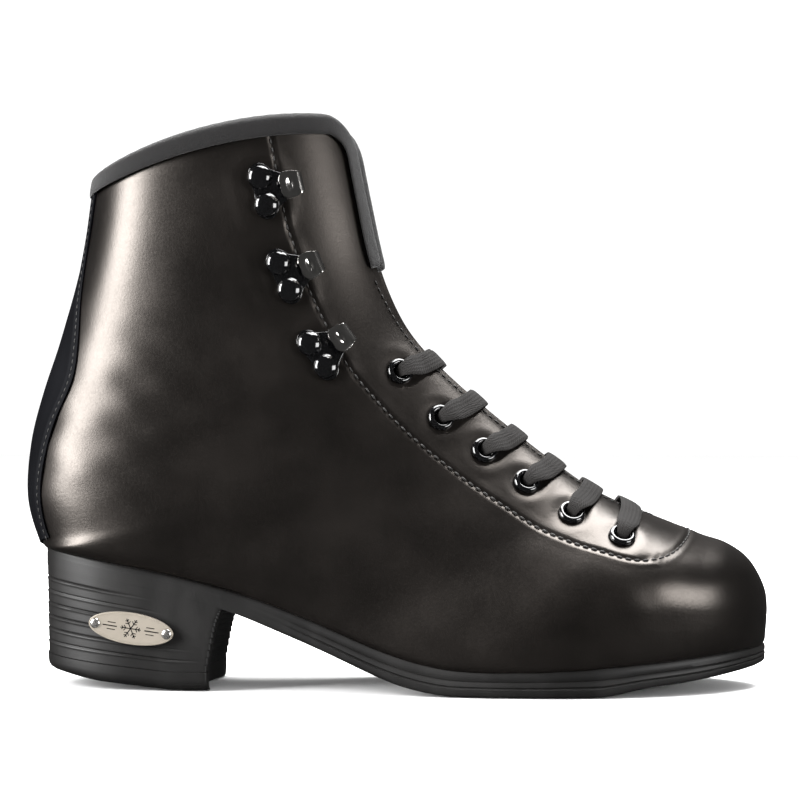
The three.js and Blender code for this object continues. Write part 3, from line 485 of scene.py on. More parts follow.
def mesh_piece(name: str, points: np.ndarray, faces: Sequence[Sequence[int]]) -> bpy.types.Object:
    """A new piece from points in mm and faces, added to the scene.

    Args:
        name: its name.
        points: its points in mm.
        faces: the points of each face.

    Returns:
        The new object, in the frame.
    """
    data = bpy.data.meshes.new(name)
    data.from_pydata(into_frame(points).tolist(), [], [list(map(int, face)) for face in faces])
    piece = bpy.data.objects.new(name, data)
    bpy.context.scene.collection.objects.link(piece)
    return piece


def net_faces(rows: int, columns: int, closed: bool = False, start: int = 0) -> np.ndarray:
    """Faces of a net of rows by columns, with its columns closed to a ring if asked.

    Args:
        rows: rows of points.
        columns: points in a row.
        closed: whether each row is a ring.
        start: number of the first point.

    Returns:
        Four point numbers to a face.
    """
    i, j = np.meshgrid(np.arange(rows - 1), np.arange(columns if closed else columns - 1), indexing="ij")
    a, b = i * columns + j, i * columns + (j + 1) % columns
    return np.stack([a, a + columns, b + columns, b], axis=-1).reshape(-1, 4) + start


def in_edit(piece: bpy.types.Object, *steps: Callable[[], object]) -> None:
    """Runs operators in edit mode with the whole mesh selected.

    Args:
        piece: the mesh object.
        steps: the operators to call, in order.
    """
    active_only(piece)
    bpy.ops.object.mode_set(mode="EDIT")
    bpy.ops.mesh.select_all(action="SELECT")
    for step in steps:
        step()
    bpy.ops.object.mode_set(mode="OBJECT")


def weld(piece: bpy.types.Object, distance: float = 0.02, outward: bool = False) -> None:
    """Merges points that lie close, drops flattened faces and turns faces outwards if asked.

    Args:
        piece: the mesh object.
        distance: how close, in mm.
        outward: whether the faces are turned outwards.
    """
    steps = [
        lambda: bpy.ops.mesh.remove_doubles(threshold=distance * MM),
        lambda: bpy.ops.mesh.dissolve_degenerate(threshold=distance * MM * 0.2),
    ]
    if outward:
        steps.append(lambda: bpy.ops.mesh.normals_make_consistent(inside=False))
    in_edit(piece, *steps)


def modified(piece: bpy.types.Object, kind: str, **settings: object) -> None:
    """Adds a modifier and applies it.

    Args:
        piece: the mesh object.
        kind: the modifier's type.
        settings: its settings.
    """
    active_only(piece)
    modifier = piece.modifiers.new(kind.title(), kind)
    for key, value in settings.items():
        setattr(modifier, key, value)
    bpy.ops.object.modifier_apply(modifier=modifier.name)


def smooth(piece: bpy.types.Object, angle: float = 40) -> None:
    """Shades a piece smooth, with edges sharper than an angle in degrees kept."""
    active_only(piece)
    bpy.ops.object.shade_smooth_by_angle(angle=math.radians(angle))


def turned(name: str, profile: Sequence[Sequence[float]], segments: int = 32) -> bpy.types.Object:
    """A turned piece about +Z in mm: a circle is pulled to the profile and spun.

    Args:
        name: the piece's name.
        profile: [radius, height] points of a closed profile.
        segments: how many steps the spin takes.

    Returns:
        The piece, closed and facing out, still in mm.
    """
    deselect()
    bpy.ops.mesh.primitive_circle_add(vertices=len(profile), radius=1, fill_type="NOTHING")
    piece = bpy.context.object
    piece.name = piece.data.name = name
    angles = np.arctan2(*coordinates(piece).T[[0, 1]])
    order = np.argsort(np.argsort(angles))
    place(piece, np.array([(profile[k][0], 0, profile[k][1]) for k in order]))
    in_edit(
        piece,
        lambda: bpy.ops.mesh.spin(steps=segments, angle=math.tau, center=(0, 0, 0), axis=(0, 0, 1)),
        lambda: bpy.ops.mesh.select_all(action="SELECT"),
        lambda: bpy.ops.mesh.remove_doubles(threshold=0.004),
        lambda: bpy.ops.mesh.dissolve_degenerate(threshold=0.002),
        lambda: bpy.ops.mesh.delete_loose(),
        lambda: bpy.ops.mesh.select_all(action="SELECT"),
        lambda: bpy.ops.mesh.normals_make_consistent(inside=False),
    )
    return piece


def stacked(
    name: str,
    along: int,
    across: int,
    levels: int,
    shape: Callable[[np.ndarray, np.ndarray, np.ndarray], np.ndarray],
) -> bpy.types.Object:
    """A slab modelled as a unit grid that is extruded level by level, then brought to shape.

    Args:
        name: the piece's name.
        along: faces along the grid.
        across: faces across it.
        levels: how many times it is extruded.
        shape: gives points in mm from arrays of u and v, 0 to 1, and the level, 0 to levels.

    Returns:
        The piece, closed and facing out, in the frame.
    """
    deselect()
    bpy.ops.mesh.primitive_grid_add(x_subdivisions=along, y_subdivisions=across, size=2)
    piece = bpy.context.object
    piece.name = piece.data.name = name
    up = {"value": (0, 0, 1)}
    in_edit(piece, *[lambda: bpy.ops.mesh.extrude_region_move(TRANSFORM_OT_translate=up)] * levels)
    u, v, level = coordinates(piece).T
    place(piece, into_frame(shape((u + 1) / 2, (v + 1) / 2, np.round(level))))
    weld(piece, outward=True)
    return piece


def drum(
    name: str, count: int, levels: int, shape: Callable[[np.ndarray, np.ndarray], np.ndarray]
) -> bpy.types.Object:
    """A solid modelled as a round face that is extruded level by level, then brought to shape.

    Args:
        name: the piece's name.
        count: points round it.
        levels: how many times it is extruded.
        shape: gives points in mm from arrays of the turn, 0 to 1, and the level, 0 to levels.

    Returns:
        The piece, closed and facing out, in the frame.
    """
    deselect()
    bpy.ops.mesh.primitive_circle_add(vertices=count, radius=1, fill_type="NGON")
    piece = bpy.context.object
    piece.name = piece.data.name = name
    up = {"value": (0, 0, 1)}
    in_edit(piece, *[lambda: bpy.ops.mesh.extrude_region_move(TRANSFORM_OT_translate=up)] * levels)
    x, y, level = coordinates(piece).T
    turn = (np.arctan2(y, x) / math.tau) % 1.0
    turn = np.round(turn * count) / count % 1.0
    place(piece, into_frame(shape(turn, np.round(level))))
    weld(piece, outward=True)
    return piece


def copied(piece: bpy.types.Object, name: str, frame: Matrix) -> bpy.types.Object:
    """A copy of a piece modelled in mm, with its own mesh, set in a frame on the boot.

    Args:
        piece: the pattern.
        name: the copy's name.
        frame: where it goes, in mm.

    Returns:
        The copy.
    """
    data = piece.data.copy()
    data.name = name
    made = bpy.data.objects.new(name, data)
    bpy.context.scene.collection.objects.link(made)
    data.transform(Matrix.Diagonal((MM, MM, MM, 1)) @ Matrix.Translation(Vector(ORIGIN)) @ frame)
    return made


def discard(piece: bpy.types.Object) -> None:
    """Removes a pattern piece once its copies are made."""
    bpy.data.objects.remove(piece, do_unlink=True)


# ------------------------------------------------------------------ finishes
class Value:
    """What flows out of a node's socket, with arithmetic."""

    def __init__(self, graph: "Graph", socket: bpy.types.NodeSocket) -> None:
        """Wraps a socket of a graph."""
        self.graph, self.socket = graph, socket

    def _math(self, operation: str, a: object, b: object) -> "Value":
        """One Math node."""
        return self.graph.node("ShaderNodeMath", {"operation": operation}, {0: a, 1: b})

    def __add__(self, other: object) -> "Value":
        """self + other."""
        return self._math("ADD", self, other)

    def __sub__(self, other: object) -> "Value":
        """self - other."""
        return self._math("SUBTRACT", self, other)

    def __rsub__(self, other: object) -> "Value":
        """other - self."""
        return self._math("SUBTRACT", other, self)

    def __mul__(self, other: object) -> "Value":
        """self * other."""
        return self._math("MULTIPLY", self, other)

    def wave(self) -> "Value":
        """The sine of self, from -1 to 1."""
        return self._math("SINE", self, 0.0)

    def size(self) -> "Value":
        """self without its sign."""
        return self._math("ABSOLUTE", self, 0.0)

    def ramp(self, *stops: tuple[float, float]) -> "Value":
        """self through (place, brightness) stops."""
        return self.graph.node("ShaderNodeValToRGB", {"stops": stops}, {0: self})

    __radd__ = __add__
    __rmul__ = __mul__


class Graph:
    """A material's nodes around one Principled shader."""

    def __init__(self, name: str) -> None:
        """Starts a material with that name.

        Args:
            name: the material's name.
        """
        self.material = bpy.data.materials.new(name)
        self.material.use_nodes = True
        self.tree = self.material.node_tree
        self.shader = self.tree.nodes["Principled BSDF"]

    def node(self, kind: str, settings: dict, sockets: dict, out: int | str = 0) -> Value:
        """Adds one node.

        Args:
            kind: the node's type.
            settings: its settings, set first; "stops" fills a ramp.
            sockets: values or links by input name, identifier or number.
            out: which output is returned.

        Returns:
            The output as a Value.
        """
        made = self.tree.nodes.new(kind)
        for key, value in settings.items():
            if key == "stops":
                elements = made.color_ramp.elements
                while len(elements) < len(value):
                    elements.new(1.0)
                for element, (at, level) in zip(elements, value):
                    element.position, element.color = at, (level, level, level, 1)
            else:
                setattr(made, key, value)
        for key, value in sockets.items():
            self.feed(self._socket(made, key), value)
        return Value(self, made.outputs[out])

    @staticmethod
    def _socket(node: bpy.types.Node, key: int | str) -> bpy.types.NodeSocket:
        """An input by number, identifier or name.

        Args:
            node: the node.
            key: the input's number, identifier or name.

        Returns:
            The input.
        """
        if isinstance(key, int):
            return node.inputs[key]
        return next((s for s in node.inputs if s.identifier == key), None) or node.inputs[key]

    def feed(self, socket: bpy.types.NodeSocket, value: object) -> None:
        """Links a Value to a socket, or sets a plain value on it.

        Args:
            socket: the input.
            value: a Value, a colour or a number.
        """
        if isinstance(value, Value):
            self.tree.links.new(value.socket, socket)
        elif isinstance(value, tuple) and len(value) == 3 and socket.type == "RGBA":
            socket.default_value = (*value, 1.0)
        else:
            socket.default_value = value

    def place(self) -> Value:
        """Object coordinates, in metres."""
        return self.node("ShaderNodeTexCoord", {}, {}, "Object")

    def uv(self) -> Value:
        """The piece's own UV map."""
        return self.node("ShaderNodeTexCoord", {}, {}, "UV")

    def parts(self, vector: Value) -> list[Value]:
        """A vector's three numbers."""
        split = self.node("ShaderNodeSeparateXYZ", {}, {0: vector})
        return [Value(self, output) for output in split.socket.node.outputs]

    def stretched(self, vector: Value, scale: Sequence[float]) -> Value:
        """A vector scaled by parts."""
        return self.node("ShaderNodeVectorMath", {"operation": "MULTIPLY"}, {0: vector, 1: tuple(scale)})

    def noise(self, vector: Value, per_mm: float, detail: float = 3.0, rough: float = 0.55) -> Value:
        """Noise from 0 to 1 with so many lumps to the millimetre."""
        sockets = {"Vector": vector, "Scale": per_mm / MM, "Detail": detail, "Roughness": rough}
        return self.node("ShaderNodeTexNoise", {}, sockets)

    def cells(self, vector: Value, per_mm: float, feature: str = "F1") -> Value:
        """Distance in a net of cells, so many to the millimetre."""
        sockets = {"Vector": vector, "Scale": per_mm / MM}
        return self.node("ShaderNodeTexVoronoi", {"feature": feature}, sockets)

    def mix(self, factor: object, a: object, b: object) -> Value:
        """A colour between a and b.

        Args:
            factor: 0 for a, 1 for b.
            a: a colour.
            b: a colour.

        Returns:
            The mixed colour.
        """
        sockets = {"Factor_Float": factor, "A_Color": a, "B_Color": b}
        made = self.node("ShaderNodeMix", {"data_type": "RGBA"}, sockets)
        return Value(self, next(s for s in made.socket.node.outputs if s.identifier == "Result_Color"))

    def bump(
        self, height: Value, depth_mm: float, strength: float = 1.0, before: Value | None = None
    ) -> Value:
        """A normal from a height of 0 to 1 that stands for a depth in mm.

        Args:
            height: 0 to 1.
            depth_mm: the height of 1, in mm.
            strength: 0 to 1.
            before: a normal to start from.

        Returns:
            The bumped normal.
        """
        sockets: dict = {"Strength": strength, "Distance": depth_mm * MM, "Height": height}
        if before is not None:
            sockets["Normal"] = before
        return self.node("ShaderNodeBump", {}, sockets)

    def finish(self, **sockets: object) -> bpy.types.Material:
        """Feeds the shader, with _ for a space in a socket's name, and returns the material.

        Args:
            sockets: the surface's inputs, by name.

        Returns:
            The material.
        """
        for key, value in sockets.items():
            self.feed(self.shader.inputs[key.replace("_", " ")], value)
        return self.material


Colour = tuple[float, float, float]


@dataclass(frozen=True)
class Leather:
    """Smooth finished leather: a fine grain, a soft sheen and worn, slightly warmer patches."""

    name: str
    slot: str
    colour: Colour = (0.0012, 0.001, 0.00095)
    worn: Colour = (0.0031, 0.0023, 0.002)
    rough: float = 0.33
    shine: float = 0.7
    grain_mm: float = 0.04
    tint: Colour = (1.0, 0.9, 0.82)

    def material(self) -> bpy.types.Material:
        """Builds the material.

        Returns:
            The material.
        """
        g = Graph(self.name)
        p = g.place()
        patches = g.noise(p, 0.03, 3).ramp((0.35, 0), (0.7, 1))
        grain = g.cells(p, 1.25, "SMOOTH_F1")
        pores = g.noise(p, 2.2, 2)
        folds = g.noise(g.stretched(p, (1.0, 1.0, 2.2)), 0.09, 4, 0.6)
        height = grain * 0.5 + pores * 0.5
        normal = g.bump(height, self.grain_mm, 0.8, g.bump(folds, 0.25, 0.2))
        return g.finish(
            Base_Color=g.mix(patches * 0.7 + pores * 0.25, self.colour, self.worn),
            Roughness=patches * 0.07 + grain * 0.08 + (self.rough - 0.06),
            Specular_IOR_Level=self.shine,
            Specular_Tint=(*self.tint, 1.0),
            Normal=normal,
        )


@dataclass(frozen=True)
class Velour:
    """Short-piled velour of the collar binding."""

    name: str = "binding_velour"
    slot: str = "binding_velour"
    colour: Colour = (0.0032, 0.003, 0.0031)
    tips: Colour = (0.0145, 0.0134, 0.0136)

    def material(self) -> bpy.types.Material:
        """Builds the material.

        Returns:
            The material.
        """
        g = Graph(self.name)
        p = g.place()
        pile = g.noise(p, 3.2, 3, 0.7)
        strokes = g.noise(g.stretched(p, (0.5, 1.0, 0.4)), 0.5, 3)
        return g.finish(
            Base_Color=g.mix(pile.ramp((0.4, 0), (0.75, 1)) * 0.8, self.colour, self.tips),
            Roughness=strokes * 0.12 + 0.85,
            Sheen_Weight=0.15,
            Sheen_Roughness=0.45,
            Specular_IOR_Level=0.2,
            Normal=g.bump(pile * 0.7 + strokes * 0.3, 0.5, 0.9),
        )


@dataclass(frozen=True)
class Cloth:
    """Plain-woven lining cloth."""

    name: str
    slot: str
    colour: Colour = (0.016, 0.0155, 0.017)
    light: Colour = (0.036, 0.035, 0.038)
    threads_per_mm: float = 1.4

    def material(self) -> bpy.types.Material:
        """Builds the material.

        Returns:
            The material.
        """
        g = Graph(self.name)
        p = g.place()
        x, y, z = g.parts(g.stretched(p, (self.threads_per_mm * math.pi / MM,) * 3))
        weave = ((x + y * 0.6).wave() * (z - y * 0.4).wave()) * 0.5 + 0.5
        fuzz = g.noise(p, 1.5, 3)
        return g.finish(
            Base_Color=g.mix(weave * 0.6 + fuzz * 0.3, self.colour, self.light),
            Roughness=fuzz * 0.1 + 0.82,
            Specular_IOR_Level=0.25,
            Normal=g.bump(weave * 0.7 + fuzz * 0.3, 0.16, 0.8),
        )


@dataclass(frozen=True)
class Braid:
    """Flat braided lace: two rows of slanting ribs that meet down the middle."""

    name: str = "lace_braid"
    slot: str = "lace_braid"
    colour: Colour = (0.003, 0.0026, 0.0024)
    light: Colour = (0.0155, 0.0135, 0.0125)
    rib_mm: float = 1.15

    def material(self) -> bpy.types.Material:
        """Builds the material. The UV map is in millimetres, along and across.

        Returns:
            The material.
        """
        g = Graph(self.name)
        along, across, _ = g.parts(g.uv())
        turn = math.tau / self.rib_mm
        ribs = (along * turn + across.size() * (turn * 1.1)).wave() * 0.5 + 0.5
        strands = (across * (math.tau / 1.45) + 1.57).wave() * 0.5 + 0.5
        yarn = g.noise(g.place(), 2.6, 3)
        height = ribs * 0.6 + strands * 0.4
        return g.finish(
            Base_Color=g.mix(height * 0.6 + yarn * 0.35, self.colour, self.light),
            Roughness=yarn * 0.12 + 0.78,
            Specular_IOR_Level=0.3,
            Normal=g.bump(height * 0.8 + yarn * 0.2, 0.28, 0.9),
        )


@dataclass(frozen=True)
class Thread:
    """Twisted sewing thread."""

    name: str
    slot: str
    colour: Colour = (0.008, 0.008, 0.008)
    light: Colour = (0.018, 0.0155, 0.014)

    def material(self) -> bpy.types.Material:
        """Builds the material.

        Returns:
            The material.
        """
        g = Graph(self.name)
        twist = g.noise(g.place(), 4.5, 2)
        return g.finish(
            Base_Color=g.mix(twist, self.colour, self.light),
            Roughness=twist * 0.15 + 0.5,
            Normal=g.bump(twist, 0.1, 0.7),
        )


@dataclass(frozen=True)
class Rubber:
    """Moulded sole rubber with a dusty, finely speckled face."""

    name: str = "sole_rubber"
    slot: str = "sole_rubber"
    colour: Colour = (0.0024, 0.002, 0.0018)
    dust: Colour = (0.0072, 0.0063, 0.0058)
    rough: float = 0.52

    def material(self) -> bpy.types.Material:
        """Builds the material.

        Returns:
            The material.
        """
        g = Graph(self.name)
        p = g.place()
        speck = g.noise(p, 2.4, 3)
        clouds = g.noise(g.stretched(p, (1.0, 1.0, 0.5)), 0.06, 4)
        rubbed = clouds.ramp((0.4, 0), (0.75, 1))
        return g.finish(
            Base_Color=g.mix(rubbed * 0.7 + speck * 0.25, self.colour, self.dust),
            Roughness=rubbed * 0.1 + speck * 0.08 + (self.rough - 0.07),
            Normal=g.bump(speck * 0.6 + clouds * 0.4, 0.07, 0.7),
        )


@dataclass(frozen=True)
class Enamel:
    """Glossy black enamel on metal."""

    name: str = "black_enamel"
    slot: str = "black_enamel"
    colour: Colour = (0.001, 0.001, 0.0011)
    rough: float = 0.1

    def material(self) -> bpy.types.Material:
        """Builds the material.

        Returns:
            The material.
        """
        g = Graph(self.name)
        p = g.place()
        haze = g.noise(p, 0.5, 3)
        return g.finish(
            Base_Color=g.mix(haze, self.colour, tuple(2.2 * c for c in self.colour)),
            Roughness=haze * 0.08 + (self.rough - 0.04),
            Coat_Weight=haze * 0.3 + 0.5,
            Coat_Roughness=0.06,
            Normal=g.bump(g.noise(p, 0.8, 2), 0.02, 0.5),
        )


@dataclass(frozen=True)
class Metal:
    """Plated or polished metal with fine rub marks."""

    name: str
    slot: str
    colour: Colour
    dark: Colour
    rough: float = 0.22
    metallic: float = 0.9
    brushed: tuple[float, float, float] = (0.15, 1.0, 1.0)

    def material(self) -> bpy.types.Material:
        """Builds the material.

        Returns:
            The material.
        """
        g = Graph(self.name)
        p = g.place()
        rub = g.noise(g.stretched(p, self.brushed), 3.0, 3, 0.6)
        haze = g.noise(p, 0.25, 3)
        return g.finish(
            Base_Color=g.mix(rub * 0.35 + haze * 0.45, self.colour, self.dark),
            Metallic=haze * 0.1 + self.metallic,
            Roughness=rub * 0.14 + haze * 0.06 + (self.rough - 0.1),
            Normal=g.bump(rub, 0.02, 0.5),
        )


@dataclass(frozen=True)
class Board:
    """Pressed fibreboard or cork: granules of two tones."""

    name: str
    slot: str
    colour: Colour
    light: Colour
    grains_per_mm: float = 0.8

    def material(self) -> bpy.types.Material:
        """Builds the material.

        Returns:
            The material.
        """
        g = Graph(self.name)
        p = g.place()
        grains, fibre = g.cells(p, self.grains_per_mm), g.noise(g.stretched(p, (0.3, 1.0, 1.0)), 1.6, 4)
        return g.finish(
            Base_Color=g.mix(grains * 0.6 + fibre * 0.4, self.colour, self.light),
            Roughness=fibre * 0.15 + 0.78,
            Normal=g.bump(grains * 0.5 + fibre * 0.5, 0.25, 0.7),
        )


class Finishes:
    """The boot's finishes, each made once."""

    def __init__(self) -> None:
        """Makes the materials by name."""
        made = [
            Leather("upper_leather", "upper_leather"),
            Leather(
                "backstay_leather", "backstay_leather", (0.0018, 0.0018, 0.0024), (0.0032, 0.0033, 0.0041),
                rough=0.6, shine=0.05, tint=(0.9, 0.93, 1.0),
            ),
            Leather(
                "strip_leather", "strip_leather", (0.006, 0.0053, 0.005), (0.011, 0.0095, 0.0085),
                rough=0.5, shine=0.3,
            ),
            Leather(
                "tongue_leather", "tongue_leather", (0.005, 0.0046, 0.0046), (0.009, 0.008, 0.0078),
                rough=0.46, shine=0.4,
            ),
            Velour(),
            Cloth("lining_cloth", "lining_cloth"),
            Board("fibreboard", "fibreboard", (0.19, 0.125, 0.075), (0.32, 0.235, 0.16)),
            Board("cork", "cork", (0.24, 0.14, 0.065), (0.5, 0.33, 0.18), 0.6),
            Braid(),
            Thread("seam_thread", "upper_leather"),
            Rubber(),
            Enamel(),
            Metal("hook_metal", "hook_metal", (0.62, 0.6, 0.57), (0.4, 0.39, 0.38), 0.17, 0.99),
            Metal("steel", "steel", (0.74, 0.71, 0.68), (0.5, 0.48, 0.46), 0.26),
            Metal("badge_plate", "steel", (0.26, 0.23, 0.19), (0.19, 0.17, 0.14), 0.42, 0.3),
        ]
        self.slots = {finish.name: finish.slot for finish in made}
        self.materials = {finish.name: finish.material() for finish in made}

    def dress(self, piece: bpy.types.Object, *names: str) -> None:
        """Gives a new piece its materials.

        Args:
            piece: the new piece.
            names: names of the finishes, in order.
        """
        for name in names:
            piece.data.materials.append(self.materials[name])

    def repaint(self, node: bpy.types.Object, name: str) -> None:
        """Gives a CAD node that stays a better material."""
        node.data.materials.clear()
        node.data.materials.append(self.materials[name])


class Body(Enum):
    """The CAD bodies that pieces ride on."""

    BOOT = "boot"
    TONGUE = "tongue"


def settle(piece: bpy.types.Object, *nodes: str, body: Body = Body.BOOT) -> None:
    """Lets a finished piece ride on a body and stand for its CAD nodes.

    Args:
        piece: the mesh object.
        nodes: the CAD nodes that it replaces.
        body: the body that it moves with.
    """
    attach(piece, body.value)
    if nodes:
        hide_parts(*nodes)
    log.info("%s: %d faces", piece.name, len(piece.data.polygons))


# ------------------------------------------------------------------ hardware places
EYELETS = ((4.36, 32.8), (6.15, 34.5), (8.15, 33), (10.4, 33.5), (12.4, 34.8), (14.2, 37))
HOOKS = (
    (((0.66, 55.6), (1.03, 54.7)), (0.79, 43.8)),
    (((1.9, 54.7), (2.36, 54.5)), (1.97, 42.5)),
    (((3.41, 57.3), (4.02, 58.6)), (3.36, 44.5)),
)


@dataclass
class Seams:
    """The lines of stitching, as [step, station, arc] knots on one side."""

    last: Last
    main: Track = Track(
        (0, 0.12, 48.9), (1, 1.3, 48.7), (2, 1.7, 47.5), (3, 3, 47), (4, 4, 50), (5, 5.7, 50.7), (6, 7, 50.4),
        (7, 9.64, 50.9), (8, 11.63, 49), (9, 13.65, 47.8), (10, 14.87, 47.3), (11, 15.63, 42.2),
        (12, 16.1, 33), (13, 16.36, 18), (14, 16.42, 0),
    )
    throat: Track = Track(
        (0, 2.3, 18.3), (1, 3, 17.3), (2, 5, 16.3), (3, 7, 15.1), (4, 10, 15), (5, 12.6, 15), (6, 13.6, 12.9),
        (7, 14.25, 9), (8, 14.62, 5), (9, 14.78, 0),
    )
    backstay_half: Track = Track(
        (0, 12), (1, 10.5), (2, 15), (3, 23), (3.8, 28.5), (4.6, 26.5), (5.5, 24.5), (7, 21.5)
    )
    stay_inset: float = 1.4

    def line(self, track: Track, side: int, pitch: float = 0.5) -> np.ndarray:
        """A seam as columns x, y, z, station and signed arc, at an even pitch in mm.

        Args:
            track: arc by station.
            side: LATERAL or MEDIAL.
            pitch: distance between points in mm.

        Returns:
            Points along the seam, in mm.
        """
        t = np.linspace(0, track.places[-1], 400)
        station, arc = track(t).T
        line = np.column_stack([self.last.on(station, side * np.maximum(arc, 0)), station, side * arc])
        return spaced(line, pitch)

    def stay_line(self, side: int, pitch: float = 0.5) -> np.ndarray:
        """The backstay's seam, just inside its edge.

        Args:
            side: LATERAL or MEDIAL.
            pitch: distance between points in mm.

        Returns:
            Points along the seam, in mm.
        """
        station = np.linspace(0.22, 6.98, 300)
        arc = self.last.girth(station, side) - self.backstay_half(station) + self.stay_inset
        return spaced(np.column_stack([self.last.on(station, side * arc), station, side * arc]), pitch)


def nearest(points: np.ndarray, line: np.ndarray) -> np.ndarray:
    """Distance from each point to the nearest point of a line, in mm.

    Args:
        points: places in mm.
        line: points along a line.

    Returns:
        The distance from each point to the line, in mm.
    """
    found = np.full(len(points), np.inf)
    for chunk in np.array_split(line[:, :3], max(len(line) // 60, 1)):
        gap = np.linalg.norm(points[:, None, :] - chunk[None, :, :], axis=2).min(axis=1)
        found = np.minimum(found, gap)
    return found


# ------------------------------------------------------------------ the upper
@dataclass
class Upper:
    """Leather, backstay, stitching, collar binding and lining."""

    last: Last
    finishes: Finishes
    seams: Seams
    hook_frames: dict[str, tuple[Matrix, float]]
    leather_thick: float = 2.0
    groove: float = 0.3
    groove_wide: float = 0.75
    binding_end: float = 2.05
    binding: dict = field(
        default_factory=lambda: {"outside": -2.2, "inside": 9.2, "above": 3.4, "below": 2.9, "wall": 1.3}
    )
    lining_depth: tuple[float, float] = (5.2, 6.7)
    thread: float = 0.36
    thread_pitch: float = 3.3

    def _rows(self) -> np.ndarray:
        """Stations of the leather's net, closer at the collar, the throat's end and the seam.

        Returns:
            The stations, rising.
        """
        parts = [
            np.linspace(0, 0.45, 12), np.linspace(0.45, 14.1, 142), np.linspace(14.1, 14.6, 14),
            np.linspace(14.6, 15.4, 12), np.linspace(15.4, 16.6, 46), np.linspace(16.6, 21, 62),
        ]
        return np.unique(np.concatenate(parts).round(5))

    def _arcs(self, rows: np.ndarray, side: int) -> np.ndarray:
        """Arcs of the net's columns, closer together along the main seam.

        Args:
            rows: stations of the net.
            side: LATERAL or MEDIAL.

        Returns:
            Arcs from the ridge, a row for each station.
        """
        girth, start = self.last.girth(rows, side), self.last.facing(rows)
        seam = np.interp(rows, [0, 3, 4.2, 9.6, 13.6, 21], [48.9, 47, 50.3, 50.9, 47.8, 46])
        seam = np.minimum(seam, start + (girth - start) * 0.55)
        band = np.minimum(2.4, (girth - start) * 0.03)
        parts = [
            start[:, None] + (seam - band - start)[:, None] * np.linspace(0, 1, 19)[None, :],
            (seam - band)[:, None] + (2 * band)[:, None] * np.linspace(0, 1, 12)[None, 1:],
            (seam + band)[:, None] + (girth - seam - band)[:, None] * np.linspace(0, 1, 43)[None, 1:],
        ]
        return np.concatenate(parts, axis=1)

    def _relief(self, points: np.ndarray, rows: np.ndarray, arcs: np.ndarray, side: int) -> np.ndarray:
        """How far the leather rises at each point: seams pull it in, hardware dents it, wear ripples it.

        Args:
            points: places in mm.
            rows: stations of the net.
            arcs: distances from the ridge in mm.
            side: LATERAL or MEDIAL.

        Returns:
            The rise at each point in mm.
        """
        main = nearest(points, self.seams.line(self.seams.main, side))
        throat = nearest(points, self.seams.line(self.seams.throat, side))
        rise = -self.groove * np.exp(-((main / self.groove_wide) ** 2))
        rise += 0.16 * np.exp(-(((main - 2.0) / 1.1) ** 2))
        rise -= 0.3 * np.exp(-((throat / 0.8) ** 2))
        for station, arc in EYELETS:
            gap = np.linalg.norm(points - self.last.on(station, side * arc), axis=1)
            rise += -0.55 * np.exp(-((gap / 6.2) ** 4)) + 0.14 * np.exp(-(((gap - 8.9) / 2.3) ** 2))
        for name, (frame, spread) in self.hook_frames.items():
            if (name.split("_")[1] == "lateral") != (side == LATERAL):
                continue
            local = (points - np.array(frame.translation)) @ np.array(frame.to_3x3())
            gap = np.hypot(local[:, 0] * 0.9, np.maximum(np.abs(local[:, 1]) - spread, 0))
            near = np.abs(local[:, 2]) < 12
            rise += near * (-0.5 * np.exp(-((gap / 6.2) ** 4)) + 0.4 * np.exp(-(((gap - 8.8) / 2.0) ** 2)))
        x, y, z = points.T
        ankle = np.exp(-(((rows - 4.6) / 1.6) ** 2)) * smoothstep(55, 75, arcs)
        waves = np.sin(0.21 * x + 0.33 * z + 1.3 * np.sin(0.07 * x)) + 0.6 * np.sin(0.37 * z - 0.16 * x + 2)
        flex = np.exp(-(((rows - 15.4) / 1.4) ** 2)) * smoothstep(48, 62, arcs)
        pulls = np.sin(0.36 * x + 0.12 * z) * np.sin(0.11 * z + 0.4)
        slow = np.sin(0.045 * x + 0.05 * z) + np.sin(0.06 * z - 0.03 * x + 1.1)
        slow += 0.5 * np.sin(0.1 * x + 0.04 * z + 2)
        return rise + 0.14 * ankle * waves + 0.12 * flex * pulls + 0.06 * slow

    def build_leather(self) -> None:
        """The outer leather: one sheet on the last, open at the throat and the eyelets."""
        rows = self._rows()
        points, faces = [], []
        for side in (LATERAL, MEDIAL):
            arcs = self._arcs(rows, side)
            station = np.repeat(rows, arcs.shape[1])
            arc = arcs.ravel()
            base = self.last.on(station, side * arc)
            rise = self._relief(base, station, arc, side)
            tuck = np.where(station > HEEL, self.last.girth(station, side) - arc, 99)
            rise -= 0.6 * (1 - smoothstep(0, 2.6, tuck))
            normal = self.last.out(station, side * np.maximum(arc, 1e-4))
            net = net_faces(len(rows), arcs.shape[1], start=sum(map(len, points)))
            faces.append(net if side == MEDIAL else net[:, ::-1])
            points.append(base + normal * rise[:, None])
        points, faces = np.concatenate(points), np.concatenate(faces)
        centre = points[faces].mean(axis=1)
        keep = np.ones(len(faces), bool)
        for side in (LATERAL, MEDIAL):
            for station, arc in EYELETS:
                keep &= np.linalg.norm(centre - self.last.on(station, side * arc), axis=1) > 3.3
        piece = mesh_piece("boot_leather", points, faces[keep])
        weld(piece)
        modified(piece, "SOLIDIFY", thickness=self.leather_thick * MM, offset=-1)
        smooth(piece, 50)
        self.finishes.dress(piece, "upper_leather")
        settle(piece, "upper_leather")

